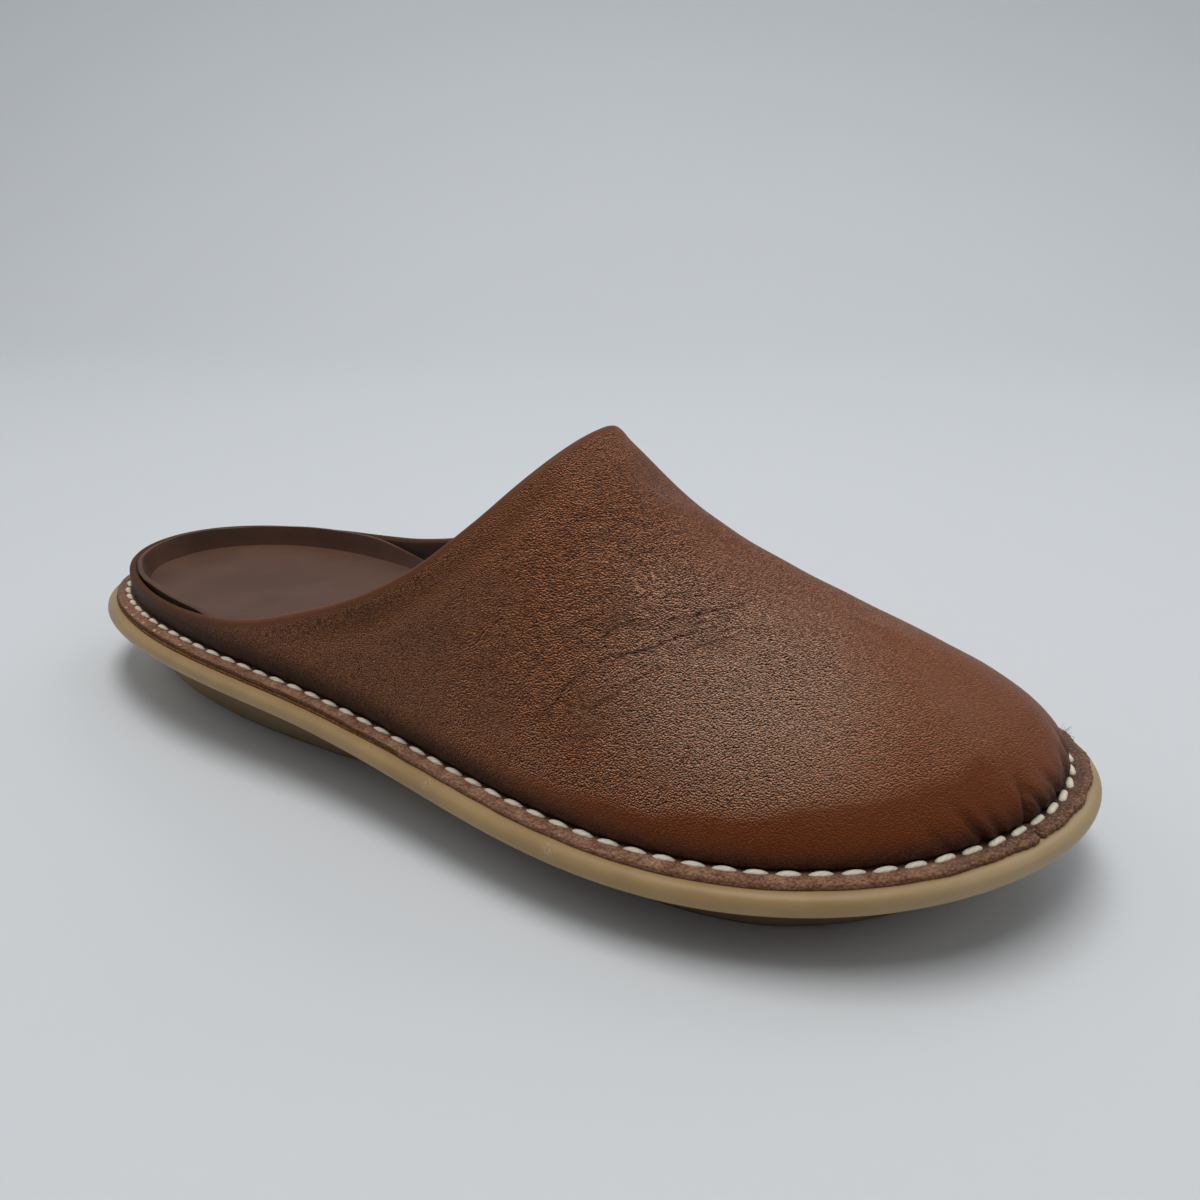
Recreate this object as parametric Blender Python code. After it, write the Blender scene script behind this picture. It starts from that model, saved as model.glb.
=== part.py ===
"""A right-foot slip-on clog with a stitched-down leather upper, a moulded rubber sole and a sock insole.

The shoe is drawn from the plan of its sole edge, the height of that edge along the foot, the ridge of the
last and the line of the collar. Every piece is an inset of that plan or a wall over that last, so the pieces
nest in each other. Lengths are in millimetres and are turned into metres when a mesh is made.
The toe points along +X, the inner (medial) side of the foot is +Y and the sole rests on Z = 0.
"""

import math
from typing import NamedTuple

import bpy
import bmesh
import numpy as np

MM = 0.001

# ---------------------------------------------------------------- driving sizes
SOLE_LENGTH = 280.0
HEEL_TIP_RADIUS = 34.0
TOE_TIP_RADIUS = 48.0
TOE_SWING = 11.0  # how far the toe tip lies to the inner side of the heel's axis

LIP_RADIUS = 2.15  # the rolled edge of the rubber is a half round of this radius
FIT_GAP = 0.3  # between pieces that touch on the real shoe
LEATHER = 1.2  # thickness of the upper's leather
COLLAR_HEM = 1.1  # added thickness where the collar is folded over
HEM_DEPTH = 7.0  # how far down from the collar's edge the folded hem reaches
HEM_ROUND = 0.35  # how far the folded edge is rounded up, as a share of its thickness
BOARD_THICKNESS = 0.7
INSOLE_THICKNESS = 3.2
INSOLE_CLEARANCE = 0.5  # from the insole's edge to the inside of the wall
INSOLE_ROUND = 0.9  # rounding of its upper edge
INSOLE_CHAMFER = 0.6  # at its lower edge

BOARD_INSET = 2.7  # from the sole's outermost edge to the edge of the board
FLANGE_INSET = 3.1  # from the sole's outermost edge to the cut edge of the leather
CREASE_INSET = 7.9  # from the sole's outermost edge to the crease where the flange turns up
BELLY_SPAN = 22.0  # height over the feather line at which the belly has faded out

UNDERCUT_INSET = 8.5  # where the sole's side wall leaves the underside of the lip
UNDERCUT_RISE = 0.4  # how much the underside of the lip rises towards the side wall
SIDE_HOLLOW = 1.4  # exponent of the side wall's slope: over 1 it starts upright and leans in lower down
TREAD_ROUND = 2.0  # rounding between side wall and tread

GROOVE_DEPTH = 1.6
GROOVE_WIDTH = 3.0
CUTTER_EXCESS = 4.0  # how far a groove's cutter reaches below the tread
GROOVE_BORDER = 9.0  # tread left whole between a groove's end and the tread's edge

TURNS = 84  # stations round the shoe
UPPER_ROWS = 20  # rows of the leather wall from crease to collar
ROW_STEP_CREASE = 1.0  # relative steps between rows at the crease, at the collar and in the middle
ROW_STEP_COLLAR = 1.6
ROW_STEP_WIDEST = 7.0
ROW_GROWTH = 0.27  # how much a step grows for each millimetre away from an edge
LINE_SAMPLES = 1201  # samples along one line up the wall, where it is looked for the collar


class PlanRow(NamedTuple):
    """Half of the sole's plan at one station: how far its outer and inner edges lie from the heel's axis."""

    share: float  # of the sole's length, from the heel
    lateral: float
    medial: float


PLAN = (
    PlanRow(0.10, 35.8, 35.8),
    PlanRow(0.20, 44.4, 42.6),
    PlanRow(0.30, 47.2, 42.6),
    PlanRow(0.40, 47.4, 41.2),
    PlanRow(0.50, 49.6, 43.2),
    PlanRow(0.60, 53.4, 48.0),
    PlanRow(0.70, 55.6, 52.2),
    PlanRow(0.80, 52.4, 53.2),
    PlanRow(0.90, 39.3, 51.0),
)


class EdgeRow(NamedTuple):
    """Height of the flange's top face, which is the shoe's feather line, above the ground."""

    share: float
    height: float


EDGE = (
    EdgeRow(0.00, 23.6),
    EdgeRow(0.20, 25.0),
    EdgeRow(0.40, 22.4),
    EdgeRow(0.60, 18.4),
    EdgeRow(0.75, 18.0),
    EdgeRow(0.90, 20.6),
    EdgeRow(1.00, 23.6),
)


class RidgeRow(NamedTuple):
    """The last above one point of its spine: the ridge's height and the shape of its section."""

    share: float  # along the spine, from its heel end to its toe end
    height: float
    offset: float  # of the ridge from the heel's axis, towards the inner side
    pinch: float  # how much the top narrows into a ridge: 0 is the top of an ellipse
    wall: float  # exponent upwards: the larger, the more upright the side
    belly: float  # how far the wall bellies out over its crease


RIDGE = (
    RidgeRow(0.00, 98.0, 0.0, 0.10, 2.2, 0.4),
    RidgeRow(0.35, 107.0, 2.0, 0.15, 2.3, 1.7),
    RidgeRow(0.55, 95.5, 6.0, 0.22, 2.1, 1.9),
    RidgeRow(0.65, 83.4, 8.0, 0.22, 2.0, 1.9),
    RidgeRow(0.70, 76.6, 8.0, 0.22, 2.0, 1.9),
    RidgeRow(0.77, 68.4, 8.0, 0.20, 2.0, 1.9),
    RidgeRow(0.88, 59.5, 8.0, 0.12, 2.0, 1.8),
    RidgeRow(1.00, 52.2, 8.0, 0.00, 1.9, 1.4),
)
SPINE_START = 44.0  # the spine's ends, from the heel's tip
SPINE_END = 232.0


class CollarRow(NamedTuple):
    """One point of the collar's edge, as it is seen from the side."""

    reach: float  # from the heel's tip
    height: float  # over the ground


COLLAR = (
    CollarRow(0.0, 31.0),
    CollarRow(36.0, 30.8),
    CollarRow(58.0, 31.4),
    CollarRow(75.0, 32.8),
    CollarRow(92.0, 36.1),
    CollarRow(106.0, 40.6),
    CollarRow(122.0, 46.9),
    CollarRow(140.0, 57.0),
    CollarRow(153.0, 68.8),
    CollarRow(160.0, 77.8),
    CollarRow(165.0, 84.8),
    CollarRow(200.0, 125.0),  # past the throat, so that the line goes on over the vamp
)
AIM_SHARE = 0.35  # where on the spine the line up from the toe's tip aims; others aim nearer the heel


class SoleRow(NamedTuple):
    """The tread: its height above the ground and how far inside the sole's outermost edge it starts."""

    share: float
    height: float
    inset: float


TREAD = (
    SoleRow(0.00, 3.0, 15.5),
    SoleRow(0.07, 0.6, 15.5),
    SoleRow(0.10, 0.0, 16.0),
    SoleRow(0.24, 0.0, 16.5),
    SoleRow(0.38, 0.0, 16.5),
    SoleRow(0.42, 0.9, 17.0),
    SoleRow(0.48, 3.0, 17.5),
    SoleRow(0.54, 0.9, 17.0),
    SoleRow(0.58, 0.0, 16.5),
    SoleRow(0.70, 0.0, 16.0),
    SoleRow(0.80, 0.0, 15.5),
    SoleRow(0.86, 1.4, 15.5),
    SoleRow(0.93, 5.0, 15.5),
    SoleRow(1.00, 11.0, 15.5),
)
HEEL_GROOVES = (0.14, 0.19, 0.24, 0.29, 0.34)
BALL_GROOVES = (0.60, 0.64, 0.68, 0.72, 0.76, 0.80, 0.84)


# ---------------------------------------------------------------- curves
def smooth(knots, values):
    """A natural cubic spline through the knots, as a function of an array."""
    knots = np.asarray(knots, float)
    values = np.asarray(values, float)
    steps = np.diff(knots)
    slopes = np.diff(values) / steps
    system = np.eye(len(knots))
    right = np.zeros_like(values)
    for i in range(1, len(knots) - 1):
        system[i, i - 1 : i + 2] = steps[i - 1], 2 * (steps[i - 1] + steps[i]), steps[i]
        right[i] = 6 * (slopes[i] - slopes[i - 1])
    bends = np.linalg.solve(system, right)

    def curve(at):
        at = np.clip(np.asarray(at, float), knots[0], knots[-1])
        i = np.clip(np.searchsorted(knots, at) - 1, 0, len(steps) - 1)
        h = steps[i]
        a = (knots[i + 1] - at) / h
        b = 1 - a
        bend = (a**3 - a) * bends[i] + (b**3 - b) * bends[i + 1]
        return a * values[i] + b * values[i + 1] + bend * h**2 / 6

    return curve


def steady(knots, values):
    """A curve through the knots that never swings past them, for flats and steps."""
    knots = np.asarray(knots, float)
    values = np.asarray(values, float)
    slopes = np.diff(values) / np.diff(knots)
    tangents = np.zeros_like(values)
    same_way = slopes[1:] * slopes[:-1] > 0
    mean = 2 * slopes[1:] * slopes[:-1] / np.where(same_way, slopes[1:] + slopes[:-1], 1.0)
    tangents[1:-1] = np.where(same_way, mean, 0.0)
    tangents[0], tangents[-1] = slopes[0], slopes[-1]

    def curve(at):
        at = np.clip(np.asarray(at, float), knots[0], knots[-1])
        i = np.clip(np.searchsorted(knots, at) - 1, 0, len(slopes) - 1)
        h = knots[i + 1] - knots[i]
        u = (at - knots[i]) / h
        start = (1 + 2 * u) * (1 - u) ** 2 * values[i] + u * (1 - u) ** 2 * h * tangents[i]
        return start + u**2 * (3 - 2 * u) * values[i + 1] + u**2 * (u - 1) * h * tangents[i + 1]

    return curve


def column(rows, name):
    return [getattr(row, name) for row in rows]


def turn_of(share):
    """The turn round the shoe, from 0 at the heel to pi at the toe, at a share of the length."""
    return np.arccos(1 - 2 * np.asarray(share, float))


def plan_curves():
    """The middle of the plan by share of the length, and its half breadth over the sine of the turn."""
    shares = np.array(column(PLAN, "share"))
    lateral = np.array(column(PLAN, "lateral"))
    medial = np.array(column(PLAN, "medial"))
    middle = smooth([0, *shares, 1], [0, *(medial - lateral) / 2, TOE_SWING])
    turns = turn_of(shares)
    fullness = (medial + lateral) / 2 / np.sin(turns)
    heel, toe = (math.sqrt(radius * SOLE_LENGTH / 2) for radius in (HEEL_TIP_RADIUS, TOE_TIP_RADIUS))
    return middle, smooth([0, *turns, math.pi], [heel, *fullness, toe])


MIDDLE, FULLNESS = plan_curves()
EDGE_HEIGHT = smooth(column(EDGE, "share"), column(EDGE, "height"))
TREAD_HEIGHT = steady(column(TREAD, "share"), column(TREAD, "height"))
TREAD_INSET = steady(column(TREAD, "share"), column(TREAD, "inset"))
RIDGE_HEIGHT = smooth(column(RIDGE, "share"), column(RIDGE, "height"))
RIDGE_OFFSET = smooth(column(RIDGE, "share"), column(RIDGE, "offset"))
PINCH = smooth(column(RIDGE, "share"), column(RIDGE, "pinch"))
BELLY = smooth(column(RIDGE, "share"), column(RIDGE, "belly"))
COLLAR_HEIGHT = steady(column(COLLAR, "reach"), column(COLLAR, "height"))
WALL = smooth(column(RIDGE, "share"), column(RIDGE, "wall"))


def outline(turn):
    """Points of the sole's outermost edge in plan. The turn runs from the heel's tip along the outer side."""
    share = (1 - np.cos(turn)) / 2
    folded = np.abs((turn + math.pi) % (2 * math.pi) - math.pi)
    y = MIDDLE(share) - FULLNESS(folded) * np.sin(turn)
    return np.stack([SOLE_LENGTH * share, y], axis=-1)


def outward(turn):
    """Unit normals of the sole's edge in plan, pointing away from the shoe."""
    step = 1e-4
    along = outline(turn + step) - outline(turn - step)
    normal = np.stack([along[..., 1], -along[..., 0]], axis=-1)
    return normal / np.linalg.norm(normal, axis=-1, keepdims=True)


def inset(turn, distance):
    """The plan a distance inside the sole's edge."""
    return outline(turn) - outward(turn) * np.asarray(distance)[..., None]


def edge_height(x):
    return EDGE_HEIGHT(x / SOLE_LENGTH)


def tread_height(x):
    return TREAD_HEIGHT(x / SOLE_LENGTH)


def ridge_slope(share):
    """Rise of the ridge for each millimetre along the spine."""
    step = 1e-3
    rise = RIDGE_HEIGHT(share + step) - RIDGE_HEIGHT(share - step)
    run = np.clip(share + step, 0, 1) - np.clip(share - step, 0, 1)
    return rise / run / (SPINE_END - SPINE_START)


# ---------------------------------------------------------------- the last
# A point of the last has a chart place: a complex number whose ellipses of one size are rings round the foot
# and whose real segment from -1 to 1 is the spine. RING is the size of the ring at the feather line.
RING = 0.75


def foot_place(turn):
    """The chart place of the feather line at a turn round the shoe."""
    return -np.cosh(RING + 1j * turn)


def spine_place(share):
    return 2 * share - 1


def last_points(place, bellied=True):
    """Points in space of the last's surface at chart places."""
    ring = np.arccosh(-np.asarray(place, complex))
    turn = ring.imag
    angle = np.clip(1 - np.abs(ring.real) / RING, 0, 1) * math.pi / 2
    share = (1 - np.cos(turn)) / 2
    foot = inset(turn, np.full(turn.shape, CREASE_INSET))
    ground = edge_height(foot[..., 0])
    spine_x = SPINE_START + (SPINE_END - SPINE_START) * share
    spine = np.stack([spine_x, RIDGE_OFFSET(share)], axis=-1)
    across = np.cos(angle) * (1 - PINCH(share) * np.sin(angle) ** 2)
    plan = spine + (foot - spine) * across[..., None]
    # A section leans towards the toe, so it follows the ridge's own slope on its way down.
    full = RIDGE_HEIGHT(share) + ridge_slope(share) * (plan[..., 0] - spine_x) - ground
    over_feather = full * np.sin(angle) ** (2 / WALL(share))
    if bellied:
        belly = BELLY(share) * np.sin(math.pi * np.sqrt(np.clip(over_feather / BELLY_SPAN, 0, 1)))
        plan += outward(turn) * belly[..., None]
    return np.concatenate([plan, (ground + over_feather)[..., None]], axis=-1)


def run_lengths(points):
    steps = np.linalg.norm(np.diff(points, axis=0), axis=-1)
    return np.concatenate([[0], np.cumsum(steps)])


def line_to_collar(turn):
    """Chart places of one line up the wall, from the feather line to where it meets the collar."""
    foot = foot_place(turn)
    aim = spine_place(AIM_SHARE * (1 - math.cos(turn)) / 2)
    places = foot + (aim - foot) * np.linspace(0, 1, LINE_SAMPLES)
    points = last_points(places)
    over = points[:, 2] - COLLAR_HEIGHT(points[:, 0])
    crossed = int(np.argmax(over > 0))
    end = crossed - over[crossed] / (over[crossed] - over[crossed - 1])
    return foot + (aim - foot) * np.linspace(0, 1, LINE_SAMPLES) ** 1.5 * end / (LINE_SAMPLES - 1)


def stations():
    return np.arange(TURNS) * 2 * math.pi / TURNS


# ---------------------------------------------------------------- meshes
def new_object(name, material, build):
    """A named object whose mesh is filled by build(bmesh)."""
    mesh = bpy.data.meshes.new(name)
    work = bmesh.new()
    build(work)
    bmesh.ops.recalc_face_normals(work, faces=work.faces)
    bmesh.ops.scale(work, vec=(MM, MM, MM), verts=work.verts)
    bmesh.ops.translate(work, vec=(-origin() * MM).tolist(), verts=work.verts)
    work.to_mesh(mesh)
    work.free()
    mesh.materials.append(material)
    mesh.shade_smooth()
    mesh.set_sharp_from_angle(angle=math.radians(40))
    placed = bpy.data.objects.new(name, mesh)
    bpy.context.scene.collection.objects.link(placed)
    return placed


def origin():
    """The part's origin in the drawing's coordinates: under the middle of the sole's box, on the ground."""
    edge = outline(np.linspace(0, 2 * math.pi, 2001))
    return np.array([*(edge.max(axis=0) + edge.min(axis=0)) / 2, 0.0])


def add_ring(work, points):
    return [work.verts.new(point) for point in points]


def join_rings(work, rings, closed=False):
    """Quads between each ring and the next, and from the last to the first if closed."""
    pairs = list(zip(rings, rings[1:]))
    if closed:
        pairs.append((rings[-1], rings[0]))
    for near, far in pairs:
        for i in range(len(near)):
            j = (i + 1) % len(near)
            work.faces.new((near[i], near[j], far[j], far[i]))


def fill_across(work, ring):
    """Fills a ring with rungs from each station to the one across the shoe from it."""
    count = len(ring)
    for i in range(1, count // 2 - 1):
        work.faces.new((ring[i], ring[i + 1], ring[count - i - 1], ring[count - i]))
    work.faces.new((ring[0], ring[1], ring[count - 1]))
    middle = count // 2
    work.faces.new((ring[middle - 1], ring[middle], ring[middle + 1]))


def ring_at(distance, height_of):
    """Points of an inset ring, with heights from a function of x."""
    plan = inset(stations(), np.full(TURNS, distance))
    return np.column_stack([plan, height_of(plan[:, 0])])


def board_top(x):
    return edge_height(x) - LEATHER - FIT_GAP


def slab_top(x):
    """The face of the rubber that carries the board."""
    return board_top(x) - BOARD_THICKNESS - FIT_GAP


def lip_rows():
    """Inset and drop of the rolled lip, from its top round to its underside."""
    angles = np.radians([90, 62, 31, 0, -31, -62, -90])
    return [(LIP_RADIUS * (1 - math.cos(a)), LIP_RADIUS * (1 - math.sin(a))) for a in angles]


def build_outsole(work):
    rings = [ring_at(d, lambda x, drop=drop: slab_top(x) - drop) for d, drop in lip_rows()]
    under = 2 * LIP_RADIUS
    rings.append(ring_at(UNDERCUT_INSET, lambda x: slab_top(x) - under + UNDERCUT_RISE))
    rings += [side_ring(down, 0.0) for down in (0.35, 0.75)]  # shares of the way down the side
    rings += [side_ring(1.0, angle) for angle in np.radians([20, 55, 90])]  # round into the tread
    rings = [add_ring(work, ring) for ring in rings]
    join_rings(work, rings)
    fill_across(work, rings[0])
    fill_across(work, rings[-1])


def side_ring(down, angle):
    """A ring a share of the way down the side wall, or at an angle round the rounding below it."""
    x = outline(stations())[:, 0]
    foot_inset = TREAD_INSET(x / SOLE_LENGTH) - TREAD_ROUND
    inward = UNDERCUT_INSET + (foot_inset - UNDERCUT_INSET) * down**SIDE_HOLLOW
    inward += TREAD_ROUND * math.sin(angle)
    plan = inset(stations(), inward)
    top = slab_top(plan[:, 0]) - 2 * LIP_RADIUS + UNDERCUT_RISE
    foot = tread_height(plan[:, 0]) + TREAD_ROUND
    height = top + (foot - top) * down - TREAD_ROUND * (1 - math.cos(angle))
    return np.column_stack([plan, height])


def groove_cutter(name, share):
    """A bar that cuts one cross groove in the tread."""
    turn = turn_of(share)
    ends = inset(np.array([turn, -turn]), TREAD_INSET(np.array([share, share])) + GROOVE_BORDER)
    x = SOLE_LENGTH * share
    top = float(tread_height(x)) + GROOVE_DEPTH

    def build(work):
        bmesh.ops.create_cube(work, size=1.0)
        size = (GROOVE_WIDTH, abs(ends[1, 1] - ends[0, 1]), top + CUTTER_EXCESS)
        bmesh.ops.scale(work, vec=size, verts=work.verts)
        bmesh.ops.translate(work, vec=(x, ends[:, 1].mean(), top - size[2] / 2), verts=work.verts)

    cutter = new_object(name, bpy.data.materials["rubber"], build)
    cutter.hide_render = True
    cutter.display_type = "WIRE"
    return cutter


def cut_grooves(sole):
    for number, share in enumerate((*HEEL_GROOVES, *BALL_GROOVES), start=1):
        cut = sole.modifiers.new(f"groove_{number}", "BOOLEAN")
        cut.operation = "DIFFERENCE"
        cut.object = groove_cutter(f"groove_cutter_{number}", share)


def build_board(work):
    top = add_ring(work, ring_at(BOARD_INSET, board_top))
    bottom = add_ring(work, ring_at(BOARD_INSET, lambda x: board_top(x) - BOARD_THICKNESS))
    join_rings(work, [bottom, top])
    fill_across(work, bottom)
    fill_across(work, top)


def build_insole(work):
    around = CREASE_INSET + LEATHER + INSOLE_CLEARANCE
    top = INSOLE_THICKNESS - LEATHER
    rows = (
        (around + INSOLE_CHAMFER, -LEATHER),
        (around, INSOLE_CHAMFER - LEATHER),
        (around, top - INSOLE_ROUND),
        (around + INSOLE_ROUND, top),
    )
    rings = [add_ring(work, ring_at(d, lambda x, up=up: edge_height(x) + up)) for d, up in rows]
    join_rings(work, rings)
    fill_across(work, rings[0])
    fill_across(work, rings[-1])


def upper_rows():
    """Rows of points of the wall's outer face from crease to collar, and their normals and runs."""
    rows = np.empty((UPPER_ROWS, TURNS, 3))
    plain = np.empty_like(rows)
    below_collar = np.empty((UPPER_ROWS, TURNS))
    for i, turn in enumerate(stations()):
        places = line_to_collar(turn)
        points = last_points(places)
        travel = run_lengths(points)
        wanted = row_places(travel[-1])
        below_collar[:, i] = travel[-1] - wanted
        smooth_wall = last_points(places, bellied=False)
        for axis in range(3):
            rows[:, i, axis] = np.interp(wanted, travel, points[:, axis])
            plain[:, i, axis] = np.interp(wanted, travel, smooth_wall[:, axis])
    return rows, normals_of(plain), below_collar


def row_places(length):
    """Distances of the rows from the crease: close together at its two edges, wider between."""
    at = np.linspace(0, length, 401)
    step = np.minimum(ROW_STEP_CREASE + ROW_GROWTH * at, ROW_STEP_COLLAR + ROW_GROWTH * (length - at))
    passed = np.cumsum(1 / np.minimum(step, ROW_STEP_WIDEST))
    passed = (passed - passed[0]) / (passed[-1] - passed[0])
    return np.interp(np.linspace(0, 1, UPPER_ROWS), passed, at)


def normals_of(rows):
    """Unit normals of a grid of points that closes round its second axis, pointing outwards."""
    up = np.gradient(rows, axis=0)
    along = np.roll(rows, -1, axis=1) - np.roll(rows, 1, axis=1)
    normal = np.cross(along, up)
    return normal / np.linalg.norm(normal, axis=-1, keepdims=True)


def build_upper(work):
    outer, normal, below_collar = upper_rows()
    normal[0] = np.column_stack([outward(stations()), np.zeros(TURNS)])
    hem = np.clip(1 - below_collar / HEM_DEPTH, 0, 1)
    thickness = (LEATHER + COLLAR_HEM * hem**2 * (3 - 2 * hem))[..., None]
    inner = outer - normal * thickness
    inner[0, :, 2] = edge_height(inner[0, :, 0]) - LEATHER
    roll = outer[-1] - outer[-2]
    roll *= thickness[-1] * HEM_ROUND / np.linalg.norm(roll, axis=-1, keepdims=True)
    lip = (outer[-1] + inner[-1]) / 2 + roll
    rings = [
        ring_at(FLANGE_INSET, lambda x: edge_height(x) - LEATHER),
        ring_at(FLANGE_INSET, edge_height),
        *outer,
        lip,
        *inner[::-1],
    ]
    join_rings(work, [add_ring(work, ring) for ring in rings], closed=True)


def material(name, colour, roughness):
    made = bpy.data.materials.new(name)
    made.use_nodes = True
    shader = made.node_tree.nodes["Principled BSDF"]
    shader.inputs["Base Color"].default_value = (*colour, 1.0)
    shader.inputs["Roughness"].default_value = roughness
    shader.inputs["Metallic"].default_value = 0.0
    return made


def main():
    for old in list(bpy.data.objects):
        bpy.data.objects.remove(old)
    rubber = material("rubber", (0.33, 0.23, 0.13), 0.5)
    leather = material("leather", (0.14, 0.06, 0.035), 0.45)
    board = material("board", (0.17, 0.085, 0.04), 0.6)
    sock = material("sock_leather", (0.16, 0.08, 0.05), 0.6)
    cut_grooves(new_object("outsole", rubber, build_outsole))
    new_object("midsole_board", board, build_board)
    new_object("insole", sock, build_insole)
    new_object("upper", leather, build_upper)


main()
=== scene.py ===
"""Looks of a leather clog: finishes, hand stitching, lining, floor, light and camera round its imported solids.

Lengths in tables and in the plan's own functions are millimetres, measured from the sole's heel tip. Meshes
are in metres in the frame's own axes: toe along +X, inner side of the foot +Y, the ground at Z = 0.
"""

import logging
import math
from collections.abc import Callable, Sequence
from dataclasses import dataclass
from enum import Enum
from functools import partial
from typing import Any

import bmesh
import bpy
import numpy as np
from mathutils import Matrix


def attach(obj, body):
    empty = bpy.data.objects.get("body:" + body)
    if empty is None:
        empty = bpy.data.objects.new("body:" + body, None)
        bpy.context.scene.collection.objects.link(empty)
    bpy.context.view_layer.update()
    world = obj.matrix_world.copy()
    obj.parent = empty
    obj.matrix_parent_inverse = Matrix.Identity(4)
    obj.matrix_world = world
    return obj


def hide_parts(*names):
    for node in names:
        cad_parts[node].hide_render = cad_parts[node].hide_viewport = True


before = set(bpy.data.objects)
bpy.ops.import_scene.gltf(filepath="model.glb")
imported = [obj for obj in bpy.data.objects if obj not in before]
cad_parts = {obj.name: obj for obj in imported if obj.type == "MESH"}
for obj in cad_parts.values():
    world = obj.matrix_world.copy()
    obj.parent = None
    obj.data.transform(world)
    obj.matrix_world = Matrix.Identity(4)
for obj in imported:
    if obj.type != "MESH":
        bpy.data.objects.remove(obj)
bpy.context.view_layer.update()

LOG = logging.getLogger("clog")
MM = 0.001
TAU = 2 * math.pi

Array = np.ndarray
Curve = Callable[[Any], Array]
Colour = tuple[float, float, float]
Table = tuple[tuple[float, ...], ...]


# ---------------------------------------------------------------- curves
def natural_spline(knots: Sequence[float], values: Sequence[float]) -> Curve:
    """A smooth curve through some knots.

    Args:
        knots: where the values hold, rising.
        values: the curve's value at each knot.

    Returns:
        A function of an array, held constant past the ends.
    """
    knots, values = np.asarray(knots, float), np.asarray(values, float)
    steps = np.diff(knots)
    slopes = np.diff(values) / steps
    system, right = np.eye(len(knots)), np.zeros_like(values)
    for i in range(1, len(knots) - 1):
        system[i, i - 1 : i + 2] = steps[i - 1], 2 * (steps[i - 1] + steps[i]), steps[i]
        right[i] = 6 * (slopes[i] - slopes[i - 1])
    bends = np.linalg.solve(system, right)

    def curve(at: Any) -> Array:
        """The curve's value.

        Args:
            at: one place or many.

        Returns:
            The value at each.
        """
        at = np.clip(np.asarray(at, float), knots[0], knots[-1])
        i = np.clip(np.searchsorted(knots, at) - 1, 0, len(steps) - 1)
        h = steps[i]
        a = (knots[i + 1] - at) / h
        b = 1 - a
        bend = (a**3 - a) * bends[i] + (b**3 - b) * bends[i + 1]
        return a * values[i] + b * values[i + 1] + bend * h**2 / 6

    return curve


def steady_spline(knots: Sequence[float], values: Sequence[float]) -> Curve:
    """A curve through some knots that never swings past them.

    Args:
        knots: where the values hold, rising.
        values: the curve's value at each knot.

    Returns:
        A function of an array, held constant past the ends.
    """
    knots, values = np.asarray(knots, float), np.asarray(values, float)
    slopes = np.diff(values) / np.diff(knots)
    tangents = np.zeros_like(values)
    same_way = slopes[1:] * slopes[:-1] > 0
    mean = 2 * slopes[1:] * slopes[:-1] / np.where(same_way, slopes[1:] + slopes[:-1], 1.0)
    tangents[1:-1] = np.where(same_way, mean, 0.0)
    tangents[0], tangents[-1] = slopes[0], slopes[-1]

    def curve(at: Any) -> Array:
        """The curve's value.

        Args:
            at: one place or many.

        Returns:
            The value at each.
        """
        at = np.clip(np.asarray(at, float), knots[0], knots[-1])
        i = np.clip(np.searchsorted(knots, at) - 1, 0, len(slopes) - 1)
        h = knots[i + 1] - knots[i]
        u = (at - knots[i]) / h
        start = (1 + 2 * u) * (1 - u) ** 2 * values[i] + u * (1 - u) ** 2 * h * tangents[i]
        return start + u**2 * (3 - 2 * u) * values[i + 1] + u**2 * (u - 1) * h * tangents[i + 1]

    return curve


def fade(value: Any, low: float, high: float) -> Array:
    """A soft step from 0 at low to 1 at high."""
    u = np.clip((np.asarray(value, float) - low) / (high - low), 0, 1)
    return u * u * (3 - 2 * u)


def bump_at(value: Any, middle: Any, reach: Any) -> Array:
    """A bell of height 1 round the middle."""
    return np.exp(-(((np.asarray(value, float) - middle) / reach) ** 2))


def unevenness(x: Array, y: Array, span: float, seed: float) -> Array:
    """A gentle wander between about -1 and 1.

    Args:
        x: one coordinate of each point.
        y: the other coordinate.
        span: the size of its waves, in the coordinates' unit.
        seed: sets the waves' phases.

    Returns:
        The wander at each point.
    """
    total = np.zeros(np.broadcast(x, y).shape)
    for k in range(5):
        angle = seed + 2.4 * k
        along = (x * math.cos(angle) + y * math.sin(angle)) * TAU / (span * (1 + 0.37 * k))
        total += np.sin(along + seed * (3.1 + k)) / 2.4
    return total


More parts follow.
